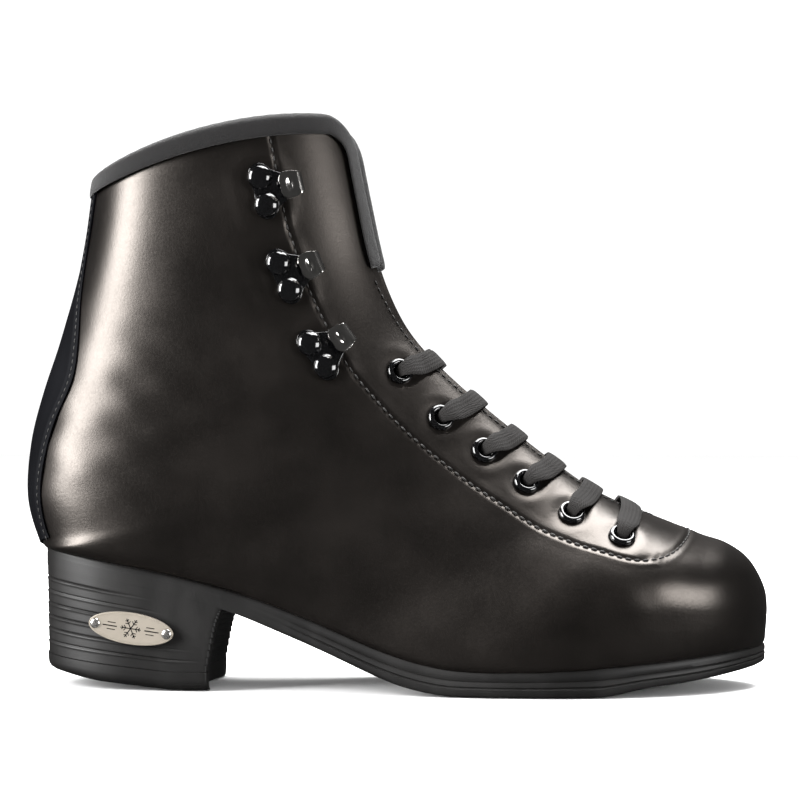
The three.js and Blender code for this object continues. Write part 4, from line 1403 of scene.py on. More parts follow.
    def build_backstay(self) -> None:
        """The strip over the back seam, thinned at its edges and pulled in along its stitching."""
        rows = np.linspace(0.17, 6.99, 150)
        share = np.concatenate([np.linspace(0, 0.14, 9), np.linspace(0.14, 1, 16)[1:]])
        share = np.concatenate([share, 2 - share[-2::-1]])
        station = np.repeat(rows, len(share))
        across = np.tile(share, len(rows))
        half = self.seams.backstay_half(station)
        girth = {side: self.last.girth(station, side) for side in SIDES.values()}
        side = np.where(across <= 1, LATERAL, MEDIAL)
        inner = np.minimum(across, 2 - across)
        arc = np.where(side == LATERAL, girth[LATERAL], girth[MEDIAL]) - half * (1 - inner)
        edge = half * inner
        stitched = np.exp(-(((edge - self.seams.stay_inset) / 0.55) ** 2))
        rise = 0.75 + 0.5 * smoothstep(0, 1.0, edge) - 0.3 * stitched
        rise += 0.25 * np.exp(-(((edge - 3.2) / 1.3) ** 2)) + 0.1 * np.sin(0.35 * station * 9) * inner
        points = self.last.on(station, side * arc, -rise)
        piece = mesh_piece("backstay_strip", points, net_faces(len(rows), len(share))[:, ::-1])
        weld(piece)
        modified(piece, "SOLIDIFY", thickness=0.9 * MM, offset=-1)
        smooth(piece, 50)
        self.finishes.dress(piece, "backstay_leather")
        settle(piece, "backstay")

    def _stitch(self) -> bpy.types.Object:
        """One stitch, in mm: a ball drawn out along +X with its ends bent down into the leather.

        Returns:
            One stitch, modelled in mm.
        """
        deselect()
        bpy.ops.mesh.primitive_uv_sphere_add(segments=8, ring_count=7, radius=1)
        piece = bpy.context.object
        x, y, z = coordinates(piece).T
        long = self.thread_pitch * 0.36
        reach = np.sign(z) * np.abs(z) ** 0.7
        place(piece, np.stack([reach * long, y * self.thread, x * self.thread - 0.28 * reach**4], axis=1))
        return piece

    def build_stitching(self) -> None:
        """Every stitch of the seams, copied from one."""
        pattern = self._stitch()
        shape = coordinates(pattern)
        faces = [list(face.vertices) for face in pattern.data.polygons]
        discard(pattern)
        lines = []
        for side in (LATERAL, MEDIAL):
            lines.append((self.seams.line(self.seams.main, side, self.thread_pitch), 0.18, 1.0))
            lines.append((self.seams.line(self.seams.throat, side, self.thread_pitch * 0.9), 0.16, 0.85))
            lines.append((self.seams.stay_line(side, self.thread_pitch * 0.85), 1.12, 0.8))
        points, made = [], []
        for line, rise, scale in lines:
            ahead = along_rows(line[:, :3])
            for (x, y, z, station, arc), to in zip(line, ahead):
                if self._covered(np.array([x, y, z])):
                    continue
                normal = self.last.out(station, arc if abs(arc) > 0.1 else 0.1)
                to = unit(to - normal * to.dot(normal))
                axes = np.stack([to, np.cross(normal, to), normal])
                made.extend([[k + len(points) * len(shape) for k in face] for face in faces])
                points.append(np.array([x, y, z]) + normal * rise + (shape * scale) @ axes)
        piece = mesh_piece("stitching", np.concatenate(points), made)
        smooth(piece, 180)
        self.finishes.dress(piece, "seam_thread")
        settle(piece)

    def _covered(self, point: np.ndarray) -> bool:
        """Whether a hook's plate or rivets lie over a point.

        Args:
            point: a place in mm.

        Returns:
            True where metal lies over it.
        """
        for frame, spread in self.hook_frames.values():
            local = np.array(frame.inverted() @ Vector(point))
            if abs(local[2]) < 8 and np.hypot(local[0], max(abs(local[1]) - spread, 0)) < 5.6:
                return True
        return False

    def _binding_path(self) -> np.ndarray:
        """Columns station and signed arc along the edge, from one facing round the collar to the other.

        Returns:
            Rows of station and signed arc.
        """
        last = self.last
        turn = np.linspace(0, math.pi / 2, 14)
        front = np.linspace(self.binding_end, last.CORNER_STATIONS, 24)
        corner = last.CORNER_STATIONS * (1 - np.sin(turn)), last.FACING + last.CORNER_ARC * (1 - np.cos(turn))
        one = [np.column_stack([front, np.full(24, last.FACING)]), np.column_stack(corner)[1:]]
        halves = {}
        for side in (LATERAL, MEDIAL):
            arcs = np.linspace(last.FACING + last.CORNER_ARC, last.girth(0, side), 70)[1:]
            path = np.concatenate([*one, np.column_stack([np.zeros(len(arcs)), arcs])])
            halves[side] = path * (1, side)
        return np.concatenate([halves[LATERAL], halves[MEDIAL][-2::-1]])

    def build_binding(self) -> None:
        """The velour roll round the collar: a padded channel over the edge of the leather and lining."""
        b = self.binding
        path = self._binding_path()
        station, arc = path.T
        point, normal = self.last.on(station, arc), self.last.out(station, arc)
        ahead = along_rows(point)
        out = unit(np.cross(ahead, normal))
        middle, half = (b["outside"] + b["inside"]) / 2, (b["inside"] - b["outside"]) / 2
        arch = np.linspace(0, math.pi, 21)
        outer = [(middle - half * math.cos(a), b["above"] * math.sin(a) ** 0.75) for a in arch]
        inner = [(middle - (half - b["wall"]) * math.cos(a), 0.5 * math.sin(a) ** 0.75) for a in arch[::-2]]
        low, flap = -b["below"], -b["below"] - 2.4
        profile = np.array(
            [
                (b["outside"] + 0.75, flap - 0.1), (b["outside"] + 0.22, flap + 0.1),
                (b["outside"] - 0.05, flap + 0.8), (b["outside"] - 0.1, flap * 0.45), *outer,
                (b["inside"] + 0.05, low * 0.45), (b["inside"], low + 0.5),
                (b["inside"] - b["wall"] / 2, low), *inner,
            ]
        )
        rows, count = len(path), len(profile)
        ends = np.minimum(np.arange(rows), np.arange(rows)[::-1])
        shrink = (1 - 0.16 * np.exp(-ends / 1.2))[:, None]
        wobble = 0.14 * np.sin(np.arange(rows) * 1.9)[:, None] * np.cos(np.arange(count) * 1.3)[None, :]
        depth = middle + (profile[None, :, 0] - middle) * shrink
        height = profile[None, :, 1] * shrink + wobble * (profile[None, :, 1] > -1)
        points = point[:, None] - normal[:, None] * depth[..., None] + out[:, None] * height[..., None]
        faces = [list(f) for f in net_faces(rows, count, closed=True)]
        faces += [list(range(count)), [(rows - 1) * count + k for k in range(count)][::-1]]
        piece = mesh_piece("collar_roll", points.reshape(-1, 3), faces)
        weld(piece, outward=True)
        modified(piece, "SUBSURF", levels=1, render_levels=1)
        smooth(piece, 60)
        self.finishes.dress(piece, "binding_velour")
        settle(piece, "collar_binding")

    def build_lining(self) -> None:
        """Lining cloth on its foam, closed against the leather along the throat."""
        spans = ((0, 0.45, 8), (0.45, 14.6, 90), (14.6, 20.4, 40))
        rows = np.unique(np.concatenate([np.linspace(*span) for span in spans]))
        share = np.concatenate([np.linspace(0, 0.06, 6), np.linspace(0.06, 1, 30)[1:]])
        outer, inner, faces = [], [], []
        for side in (LATERAL, MEDIAL):
            station = np.repeat(rows, len(share))
            across = np.tile(share, len(rows))
            start = self.last.facing(station) + np.where(station < self.last.THROAT_END, 0.7, 0)
            end = self.last.girth(station, side) - np.where(station > HEEL, 6, 0)
            arc = start + (end - start) * across
            near = np.where(station < 14.4, smoothstep(0.5, 4.5, arc - start), 1)
            top = 2.3 + (self.lining_depth[0] - 2.3) * near
            net = net_faces(len(rows), len(share), start=sum(map(len, outer)))
            centre = self.last.on(station, side * arc)
            keep = np.ones(len(net), bool)
            for eyelet in EYELETS:
                spot = self.last.on(eyelet[0], side * eyelet[1])
                keep &= np.linalg.norm(centre[net - sum(map(len, outer))].mean(axis=1) - spot, axis=1) > 3.6
            faces.append(net[keep] if side == MEDIAL else net[keep][:, ::-1])
            outer.append(self.last.on(station, side * arc, top))
            inner.append(self.last.on(station, side * arc, self.lining_depth[1]))
        outer, inner, faces = np.concatenate(outer), np.concatenate(inner), np.concatenate(faces)
        edges = np.concatenate([faces[:, [k, (k + 1) % 4]] for k in range(4)])
        seen = {tuple(edge) for edge in edges.tolist()}
        walls = [[b, a, a + len(outer), b + len(outer)] for a, b in seen if (b, a) not in seen]
        back = faces[:, ::-1] + len(outer)
        shell = [*faces.tolist(), *back.tolist(), *walls]
        piece = mesh_piece("lining", np.concatenate([outer, inner]), shell)
        weld(piece)
        smooth(piece, 50)
        self.finishes.dress(piece, "lining_cloth")
        settle(piece, "quarter_lining", "vamp_lining")

    def build(self) -> None:
        """Builds the whole upper."""
        self.build_leather()
        self.build_backstay()
        self.build_stitching()
        self.build_binding()
        self.build_lining()


# ------------------------------------------------------------------ the tongue
@dataclass
class Tongue:
    """A padded tongue in one piece."""

    last: Last
    finishes: Finishes
    under: float = 11.7
    half: float = 20.0
    deep: float = 24.0
    thick: float = 4.0
    hinge: float = 3.9
    top: float = 0.1
    sewn: float = 15.6
    spread: Track = Track((0, 1.396), (6, 1.326), (11, 1.005), (15.6, 0.65))
    bend: float = 0.35  # stations either side of the hinge

    def _arch(self, station: np.ndarray, angle: np.ndarray, inset: np.ndarray) -> np.ndarray:
        """Points of the arch under the ridge.

        Args:
            station: place along the boot.
            angle: angle round the arch.
            inset: how far it is set in from the outer face, in mm.

        Returns:
            Points of the arch in mm.
        """
        sink = self.under + self.deep - (self.deep - inset) * np.cos(angle)
        point = self.last.on(station, np.zeros_like(station), sink)
        point[..., 1] += (self.half - inset) * np.sin(angle)
        return point

    def build(self) -> None:
        """Builds the tongue as a cushion with rounded edges, piped all round."""
        rows, around = 110, 44
        s = np.linspace(0, 1, rows)
        station = self.top + (self.sewn - self.top) * s
        corner = np.sqrt(np.clip(1 - (1 - np.clip(s / 0.045, 0, 1)) ** 2, 0, 1))
        wide = self.spread(station) * (0.72 + 0.28 * corner)
        turn = np.arange(around) / around * math.tau
        across, lift = np.cos(turn), np.sin(turn)
        across = np.sign(across) * np.abs(across) ** 0.55
        lift = np.sign(lift) * np.abs(lift) ** 0.5
        top_end, low_end = (np.sqrt(np.clip(v, 0.02, 1)) for v in (s / 0.012, (1 - s) / 0.01))
        plump = np.minimum(1, top_end) * np.minimum(1, low_end)
        channel = 1 - 0.16 * np.exp(-(((np.abs(across) - 0.86) / 0.035) ** 2))
        quilt = 1 - 0.1 * np.abs(np.sin(station * 1.35))[:, None] ** 8 * (np.abs(across) < 0.8)[None, :]
        half = self.thick / 2 * 0.96
        inset = self.thick / 2 - half * lift[None, :] * channel[None, :] * quilt * plump[:, None]
        grid_s = np.repeat(station, around).reshape(rows, around)
        points = self._arch(grid_s, across[None, :] * wide[:, None], inset)
        faces = [list(f) for f in net_faces(rows, around, closed=True)]
        faces += [list(range(around)), [(rows - 1) * around + k for k in range(around)][::-1]]
        piece = mesh_piece("padded_tongue", points.reshape(-1, 3), faces)
        weld(piece, outward=True)
        smooth(piece, 70)
        self.finishes.dress(piece, "tongue_leather")
        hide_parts("tongue_lower", "tongue_upper")
        ends = [self.last.on(self.hinge + k * self.bend, 0.0, self.under + 2) for k in (1, -1)]
        [tuple(into_frame(p)) for p in ends]
        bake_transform(piece)
        log.info("%s: %d faces", piece.name, len(piece.data.polygons))


# ------------------------------------------------------------------ the lace
@dataclass
class Lace:
    """One flat braid through the six rows of eyelets, with both ends tucked inside."""

    last: Last
    finishes: Finishes
    wide: float = 8.6
    thick: float = 1.3
    bunched: tuple[float, float] = (4.4, 1.8)
    under: float = 9.2
    over: float = -1.5
    lift: float = 1.9
    ease: float = 1.3  # how a crossing leaves its lower eyelet
    last_aim: tuple[float, float] = (3.0, 32.8)  # the place that the top crossings head for
    last_under: float = 7.9
    aglet_radius: float = 1.9
    aglet_long: float = 20.0
    tail: tuple = ((3.3, 24), (3.5, 34), (4.2, 45), (5, 56), (5.6, 69), (6.3, 86), (6.9, 104), (7.3, 120))

    def _inward(self, row: int, side: int) -> list[tuple]:
        """Knots under the facing to an eyelet and up into its bore.

        Args:
            row: a row of eyelets, 0 at the top.
            side: LATERAL or MEDIAL.

        Returns:
            Knots [station, signed arc, depth, bunched, folded].
        """
        station, arc = EYELETS[row]
        steps = ((7, self.under, 0.3), (2.6, self.under + 0.3, 1), (0.6, 8.9, 1), (0, 7.2, 1))
        return [(station, side * (arc - before), depth, tight, 0) for before, depth, tight in steps]

    def _crossing(self, row: int, side: int, lift: float) -> list[tuple]:
        """Knots from inside an eyelet out over its facing and under the far one, to the next row up.

        Args:
            row: a row of eyelets, 0 at the top.
            side: LATERAL or MEDIAL.
            lift: how far it passes over the other crossing, in mm.

        Returns:
            Knots like those of _inward.
        """
        (s1, a1), (s2, a2) = EYELETS[row], EYELETS[row - 1] if row else self.last_aim
        lean = 0.55 * (s2 - s1) / (a1 + a2)
        steps = ((0, 3.5, 1), (0, -0.6, 1), (1.4, -2.7, 0.7), (4.2, -3.2, 0.25), (7, -2.4, 0))
        out = [(s1 + lean * beyond, side * (a1 - beyond), depth, tight, 0) for beyond, depth, tight in steps]
        under = self.under if row else self.last_under
        shift = 4.2 if row == len(EYELETS) - 1 else 0.0
        steps = (
            (23, self.over, 0), (18, -1.9, 0), (12.8 - shift, -1.6, 1), (10.7 - shift, 0, 1),
            (8.6 - shift, 3.4, 1), (5 - shift, 5.2, 1), (-shift / 2, under - 0.6 - lift, 0),
            (-6 - shift / 4, under - 0.3 - lift / 2, 0), (-14, under, 0),
        )
        middle = [
            (s1 + (s2 - s1) * ((a1 - arc) / (a1 + a2)) ** self.ease, side * arc, depth, 0, folded)
            for arc, depth, folded in steps
        ]
        return [*out, *middle, *(self._inward(row - 1, -side) if row else ())]

    def _half(self, side: int) -> list[tuple]:
        """Knots from the middle of the lowest bar to one end.

        Args:
            side: the side that it starts on.

        Returns:
            Knots like those of _inward.
        """
        row = len(EYELETS) - 1
        bar = [(EYELETS[row][0], side * arc, self.under, 0, 0) for arc in (3, 10, 20)]
        knots, here = [*bar, *self._inward(row, side)], side
        for row in range(row, -1, -1):
            knots += self._crossing(row, here, self.lift if side == LATERAL else 0)
            here = -here
        depths = [min(self.last_under + 0.8 * k, self.under + 0.4 * k) for k in range(len(self.tail))]
        return [*knots, *((s, here * arc, depth, 0, 0) for (s, arc), depth in zip(self.tail, depths))]

    def _spine(self) -> np.ndarray:
        """The whole lace's middle line.

        Returns:
            Columns point, normal, edge of the facing (x, y and z each), bunched and folded.
        """
        knots = np.array([*self._half(LATERAL)[::-1], *self._half(MEDIAL)])
        station, arc, depth, tight, folded = knots.T
        point = self.last.on(station, arc, depth)
        edge = unit(self.last.on(station + 0.1, arc, depth) - point)
        table = np.column_stack([point, self.last.out(station, arc), edge, tight, folded])
        run = np.concatenate([[0], np.cumsum(np.linalg.norm(np.diff(table[:, :3], axis=0), axis=1))])
        curve = Track(*np.column_stack([run, table]))
        return spaced(curve(np.linspace(0, run[-1], 9000)), 1.25)

    def build(self) -> None:
        """Builds the braid and its two ends."""
        spine = self._spine()
        point, normal, edge = spine[:, :3], unit(spine[:, 3:6]), unit(spine[:, 6:9])
        tight, folded = np.clip(spine[:, 9:10], 0, 1), np.clip(spine[:, 10:], 0, 1)
        ahead = along_rows(point)
        length = float(np.linalg.norm(np.diff(point, axis=0), axis=1).sum())
        log.info("the lace is %.0f mm long", length)
        wide = np.cross(normal, ahead)
        steady = np.linalg.norm(wide, axis=1) > 0.5
        for k in range(1, len(wide)):
            if wide[k] @ wide[k - 1] < 0:
                wide[k] = -wide[k]
            if not steady[k]:
                wide[k] = wide[k - 1]
        for _ in range(10):
            wide[1:-1] = 0.5 * wide[1:-1] + 0.25 * (wide[2:] + wide[:-2])
            wide = unit(wide - ahead * np.sum(wide * ahead, axis=1, keepdims=True))
        flat = unit(np.cross(ahead, wide))
        lean = np.sum(edge * wide, axis=1, keepdims=True)
        parallel = np.abs(lean) < 0.5
        wide = wide + (edge / np.where(parallel, np.inf, lean) - wide) * folded * ~parallel
        half_w = (self.wide + (self.bunched[0] - self.wide) * tight) / 2
        half_t = (self.thick + (self.bunched[1] - self.thick) * tight) / 2
        turn = np.arange(18) / 18 * math.tau
        u = np.sign(np.cos(turn)) * np.abs(np.cos(turn)) ** 0.5
        v = np.sign(np.sin(turn)) * np.abs(np.sin(turn)) ** 0.7
        crown = v[None, :] * half_t * (1 - 0.25 * u[None, :] ** 2)
        cup = 0.35 * (u[None, :] ** 2 - 0.4) * tight
        sideways = wide[:, None] * (u[None, :] * half_w)[..., None]
        points = point[:, None] + sideways + flat[:, None] * (crown + cup)[..., None]
        rows, count = points.shape[:2]
        faces = [list(f) for f in net_faces(rows, count, closed=True)]
        faces += [list(range(count)), [(rows - 1) * count + k for k in range(count)][::-1]]
        piece = mesh_piece("braided_lace", points.reshape(-1, 3), faces)
        layer = piece.data.uv_layers.new(name="braid")
        run = np.concatenate([[0], np.cumsum(np.linalg.norm(np.diff(point, axis=0), axis=1))])
        index = np.empty(len(piece.data.loops), int)
        piece.data.loops.foreach_get("vertex_index", index)
        uv = np.column_stack([run[index // count], (u * self.wide / 2)[index % count]])
        layer.data.foreach_set("uv", uv.ravel().astype(np.float32))
        in_edit(piece, lambda: bpy.ops.mesh.normals_make_consistent(inside=False))
        smooth(piece, 60)
        self.finishes.dress(piece, "lace_braid")
        settle(piece, "lace")
        self._build_aglets(point)

    def _build_aglets(self, point: np.ndarray) -> None:
        """The crimped plastic ends.

        Args:
            point: the lace's middle line.
        """
        r, long = self.aglet_radius, self.aglet_long
        profile = [(0, 0), (r * 0.9, 0), (r, 0.5), (r, 3), (r * 0.93, 3.4), (r, 3.8), (r, long - 1.5),
                   (r * 0.85, long - 0.5), (r * 0.5, long), (0, long)]
        pattern = turned("aglet", profile, 24)
        for k, (before, end) in enumerate(((point[3], point[0]), (point[-4], point[-1]))):
            z = unit(end - before)
            x = unit(np.cross((0, 0, 1), z))
            piece = copied(pattern, f"lace_tip_{k + 1}", frame_of(x, np.cross(z, x), z, end + z * GAP))
            smooth(piece, 50)
            self.finishes.dress(piece, "black_enamel")
            settle(piece, f"aglet_{k + 1}")
        discard(pattern)


# ------------------------------------------------------------------ eyelets, rivets and hooks
@dataclass
class Hardware:
    """Rolled eyelets, domed rivets and curled lace hooks."""

    last: Last
    finishes: Finishes
    bore: float = 2.6
    flange: float = 5.15
    rise: float = 1.6
    dome: float = 4.75
    dome_rise: float = 3.0
    plate: float = 1.0
    lobe: float = 5.5
    spine: float = 15.5
    lift: float = 3.4
    tab: float = 10.0
    frames: dict[str, tuple[Matrix, float]] = field(init=False)

    def __post_init__(self) -> None:
        """Works out where each hook sits, with its +X towards the tab and its rivets along Y."""
        self.frames = {}
        for word, side in SIDES.items():
            for row, (rivets, tab) in enumerate(HOOKS):
                ends = [self.last.on(station, side * arc) for station, arc in rivets]
                middle = np.mean(rivets, axis=0)
                aim = self.last.on(tab[0], side * tab[1])
                frame = self.last.frame(middle[0], side * middle[1], aim)
                self.frames[f"hook_{word}_{row + 1}"] = (frame, float(np.linalg.norm(ends[0] - ends[1])) / 2)

    def build_eyelets(self) -> None:
        """Rings with a rolled flange, a barrel and a clinched back."""
        b, f, mid = self.bore, self.flange, (self.bore + self.flange) / 2
        turn = np.linspace(0, math.pi, 11)
        roll = [(mid + (f - mid) * math.cos(a), 0.1 + self.rise * math.sin(a)) for a in turn]
        barrel = [(b, -8), (4.0, -8), (4.1, -7.4), (3.1, -7.3), (3.1, 0.05)]
        profile = [*barrel, (f - 0.3, -0.1), *roll, (b, -1.2)]
        pattern = turned("eyelet", profile, 40)
        for word, side in SIDES.items():
            for row, (station, arc) in enumerate(EYELETS):
                node = f"eyelet_{word}_{row + 1}"
                piece = copied(pattern, f"ring_{word}_{row + 1}", self.last.frame(station, side * arc))
                smooth(piece, 50)
                self.finishes.dress(piece, "black_enamel")
                settle(piece, node)
        discard(pattern)

    def build_rivets(self) -> None:
        """Mushroom-headed rivets through the hooks' plates."""
        seat = GAP + self.plate + 0.05
        crown = [(self.dome * math.cos(a), seat + 0.35 + (self.dome_rise - 0.35) * math.sin(a))
                 for a in np.linspace(0, math.pi / 2, 12)]
        shank = [(0, -4.6), (2.8, -4.6), (2.8, -4.1), (1.3, -4.0), (1.3, seat)]
        profile = [*shank, (self.dome - 0.3, seat), *crown]
        pattern = turned("rivet", profile, 40)
        for name, (frame, spread) in self.frames.items():
            for k, y in enumerate((spread, -spread)):
                dome = name.replace("hook", "dome") + f"_{k + 1}"
                piece = copied(pattern, dome, frame @ Matrix.Translation((0, y, 0)))
                smooth(piece, 50)
                self.finishes.dress(piece, "black_enamel")
                settle(piece, f"{name}_rivet_{k + 1}")
        discard(pattern)

    def _plate(self, spread: float) -> bpy.types.Object:
        """A hook's base in mm: two lobes and a neck, bevelled all round.

        Args:
            spread: half the distance between its rivets.

        Returns:
            The plate, modelled in mm.
        """
        count = 72
        deselect()
        bpy.ops.mesh.primitive_circle_add(vertices=count, radius=1, fill_type="NGON")
        piece = bpy.context.object
        turn = np.arctan2(*coordinates(piece).T[[1, 0]])
        x, y = np.cos(turn), np.sin(turn)
        waist = 1 - 0.34 * np.exp(-((y / 0.4) ** 2)) * (x < 0)
        neck = np.exp(-((y / 0.45) ** 4)) * smoothstep(0.2, 0.9, x)
        along = x * self.lobe * waist + neck * 4.6
        across = y * self.lobe + np.sign(y) * spread * np.abs(y) ** 0.5
        place(piece, np.column_stack([along, across, np.full(count, GAP)]))
        up = {"value": (0, 0, self.plate)}
        in_edit(
            piece,
            lambda: bpy.ops.mesh.extrude_region_move(TRANSFORM_OT_translate=up),
            lambda: bpy.ops.mesh.select_all(action="SELECT"),
            lambda: bpy.ops.mesh.normals_make_consistent(inside=False),
        )
        modified(piece, "BEVEL", width=0.28, segments=3, limit_method="ANGLE", angle_limit=math.radians(50))
        return piece

    def _tab(self) -> bpy.types.Object:
        """A hook's curled tab in mm: a strip bent forward, up and back, rounded and dimpled.

        Returns:
            The tab, modelled in mm.
        """
        deselect()
        bpy.ops.mesh.primitive_grid_add(x_subdivisions=44, y_subdivisions=20, size=2)
        piece = bpy.context.object
        u, v = (coordinates(piece)[:, :2].T + 1) / 2
        radius = self.lift / 2 + self.plate / 2
        start, fold = self.spine - 8.0, self.spine - radius - self.plate / 2
        flat, arc, top = fold - start, math.pi * radius, 6.4
        run = u * (flat + arc + top)
        angle = np.clip((run - flat) / radius, 0, math.pi)
        x = np.where(run < flat, start + run, fold + radius * np.sin(angle))
        x = np.where(run > flat + arc, fold - (run - flat - arc), x)
        z = GAP + self.plate / 2 + radius * (1 - np.cos(angle)) + 0.07 * np.maximum(run - flat - arc, 0)
        left = (1 - u) * (flat + arc + top)
        end = 2.8 - np.sqrt(np.clip(2.8**2 - (2.8 - np.minimum(left, 2.8)) ** 2, 0, None))
        half = self.tab / 2 - end - 1.6 * np.exp(-(((run - flat - arc / 2) / 3.2) ** 2))
        y = (v * 2 - 1) * half
        centre = fold - 2.6
        dish = np.exp(-((((x - centre) / 1.15) ** 2 + (y / 2.3) ** 2) ** 2)) * (run > flat + arc)
        crown = 0.25 * (v * 2 - 1) ** 2 * (run > flat + arc)
        place(piece, np.stack([x, y, z - 0.75 * dish - crown], axis=1))
        modified(piece, "SOLIDIFY", thickness=self.plate, offset=0)
        modified(piece, "BEVEL", width=0.22, segments=2, limit_method="ANGLE", angle_limit=math.radians(55))
        return piece

    def build_hooks(self) -> None:
        """The six hooks."""
        for name, (frame, spread) in self.frames.items():
            plate, tab = self._plate(spread), self._tab()
            for part, material in ((plate, "black_enamel"), (tab, "hook_metal")):
                part.data.materials.append(self.finishes.materials[material])
            active_only(tab)
            plate.select_set(True)
            bpy.ops.object.join()
            piece = copied(tab, name.replace("hook", "lace_hook"), frame)
            discard(tab)
            smooth(piece, 45)
            settle(piece, name)

    def build(self) -> None:
        """Builds all the metal of the upper."""
        self.build_eyelets()
        self.build_rivets()
        self.build_hooks()


# ------------------------------------------------------------------ the bottom
@dataclass
class Bottom:
    """Outsole, heel, badge and footbed."""

    last: Last
    finishes: Finishes
    lift: float = 7.0
    breast_top: float = -63.0
    breast_bottom: float = -70.0
    hollow: float = 4.5
    corner: tuple[float, float] = (2.6, 2.2)  # rounding of the breast's corners, top and bottom
    slant: tuple[float, float] = (-86.0, 0.1)  # where the heel's base starts to rise, and its slope
    ridges: int = 7
    groove_deep: float = 0.42
    badge_at: tuple[float, float] = (-100.0, 23.5)
    badge_size: tuple[float, float, float] = (33.0, 12.0, 1.2)
    badge_tilt: float = -8.0
    under: Track = Track(
        (-142, 47), (-115, 42.6), (-86, 37), (-61, 29.5), (-47, 24), (-28, 16), (-9, 7.6), (1, 3.8),
        (10, 1.5), (20, 0), (30, 0), (70, 0), (78, 0), (93, 2.8), (114, 5.2), (135, 8.3), (143, 10),
    )

    def underside(self, x: np.ndarray) -> np.ndarray:
        """Height of the outsole's underside along x."""
        return np.where((x >= 20) & (x <= 78), 0, self.under(x))

    def _plan(self, u: np.ndarray, v: np.ndarray, inset: np.ndarray) -> np.ndarray:
        """Points of the sole's plan: u from heel to toe, v from lateral to medial, edge set in.

        Args:
            u: share of the length.
            v: share of the width.
            inset: how far the edge is set in, in mm.

        Returns:
            Points in mm.
        """
        station = HEEL + (TOE - HEEL) * (0.5 - 0.5 * np.cos(math.pi * (0.12 + 0.76 * u)) - 0.0351) / 0.9298
        station = np.clip(station, HEEL, TOE)
        sides = []
        for side in (LATERAL, MEDIAL):
            x, y, inward_x, inward_y = self.last.edge(station, side).T
            low, high = self.last.HEEL_BACK[0] + inset, self.last.TOE_TIP[0] - inset
            sides.append(np.stack([np.clip(x + inward_x * inset, low, high), y + inward_y * inset], axis=1))
        return sides[0] + (sides[1] - sides[0]) * v[:, None]

    def build_outsole(self) -> None:
        """The outsole, with two pressed grooves along its edge and a rounded lip under the upper."""
        profile = np.array(
            [  # share of the height, inset
                (-0.07, 1.5), (-0.07, 0.45), (0.0, 0.1), (0.14, 0.0), (0.3, 0.05), (0.36, 0.42),
                (0.42, 0.07), (0.56, 0.0), (0.62, 0.42), (0.68, 0.05), (0.86, 0.15), (0.95, 0.5), (1, 1.3),
            ]
        )

        def shape(u: np.ndarray, v: np.ndarray, level: np.ndarray) -> np.ndarray:
            """Places the outsole's points."""
            down, inset = profile[level.astype(int)].T
            plan = self._plan(u, v, inset + 0.25)
            x = plan[:, 0]
            fore = smoothstep(-60, -20, x)
            kept = np.where(level >= 5, fore, 1.0)
            plan = self._plan(u, v, inset * kept + 0.25)
            top, low = self.last.sole_edge(x) - 0.1, self.underside(x)
            return np.column_stack([plan, top + (low - top) * down])

        piece = stacked("rubber_outsole", 120, 10, len(profile) - 1, shape)
        smooth(piece, 35)
        self.finishes.dress(piece, "sole_rubber")
        settle(piece, "outsole")

    def _heel_ring(self, turn: np.ndarray, breast: np.ndarray, inset: np.ndarray) -> np.ndarray:
        """Points round the heel: most of the turn follows the sole's edge, the rest crosses the breast.

        Args:
            turn: share of the way round.
            breast: x of the heel's front.
            inset: how far the edge is set in, in mm.

        Returns:
            Points in mm.
        """
        share = 0.76
        on_edge = turn <= share
        t = np.where(on_edge, turn / share, 0)
        station = np.linspace(HEEL, 13.0, 400)
        edges = {side: self.last.edge(station, side) for side in SIDES.values()}
        made = np.empty((len(turn), 2))
        for k in range(len(turn)):
            fall = (breast[k] - self.breast_top) / (self.breast_bottom - self.breast_top)
            corner = self.corner[0] + (self.corner[1] - self.corner[0]) * fall
            rim = {
                side: np.column_stack([e[:, 0] + e[:, 2] * inset[k], e[:, 1] + e[:, 3] * inset[k]])
                for side, e in edges.items()
            }
            ends = {}
            for side, line in rim.items():
                line = line[(line[:, 0] < breast[k] - corner) & (line[:, 1] * side > 0)]
                ends[side] = line
            loop = np.concatenate([ends[LATERAL][::-1], ends[MEDIAL]])
            if on_edge[k]:
                run = np.concatenate([[0], np.cumsum(np.linalg.norm(np.diff(loop, axis=0), axis=1))])
                made[k] = [np.interp(t[k] * run[-1], run, loop[:, i]) for i in range(2)]
            else:
                w = (turn[k] - share) / (1 - share)
                a, b = ends[MEDIAL][-1], ends[LATERAL][-1]
                y = a[1] + (b[1] - a[1]) * (0.5 - 0.5 * math.cos(math.pi * w))
                v = 2 * (y - b[1]) / (a[1] - b[1]) - 1
                edge_x = a[0] + (b[0] - a[0]) * (1 - (v + 1) / 2)
                bulge = corner * (1 - np.abs(v) ** 8) ** 0.5
                made[k] = (edge_x + bulge - self.hollow * (1 - v * v) ** 1.5, y)
        return made

    def _rise(self, x: np.ndarray) -> np.ndarray:
        """How far the heel's slanting base is off the ground."""
        return np.maximum(0, self.slant[0] - x) * self.slant[1]

    def _grooves(self, share: float, x: np.ndarray) -> np.ndarray:
        """How deep the heel's grooves cut, by share of the height from the wearing layer to the sole.

        Args:
            share: of the height from the wearing layer to the sole.
            x: places along the boot.

        Returns:
            Depths in mm.
        """
        near = (share * self.ridges + 0.5) % 1 - 0.5
        cut = math.exp(-((near / 0.06) ** 2)) - 0.45 * math.exp(-(((near + 0.15) / 0.08) ** 2))
        cut *= self.groove_deep * (0.5 < share * self.ridges < self.ridges - 0.5)
        reach = np.interp(share, [0, 0.25, 0.6, 1], [-66, -74, -82, -96])
        return cut * (1 - smoothstep(reach - 24, reach, x))

    def build_heel(self) -> None:
        """The stacked heel block, grooved round the back and hollowed at the breast."""
        levels = 110
        count = 200

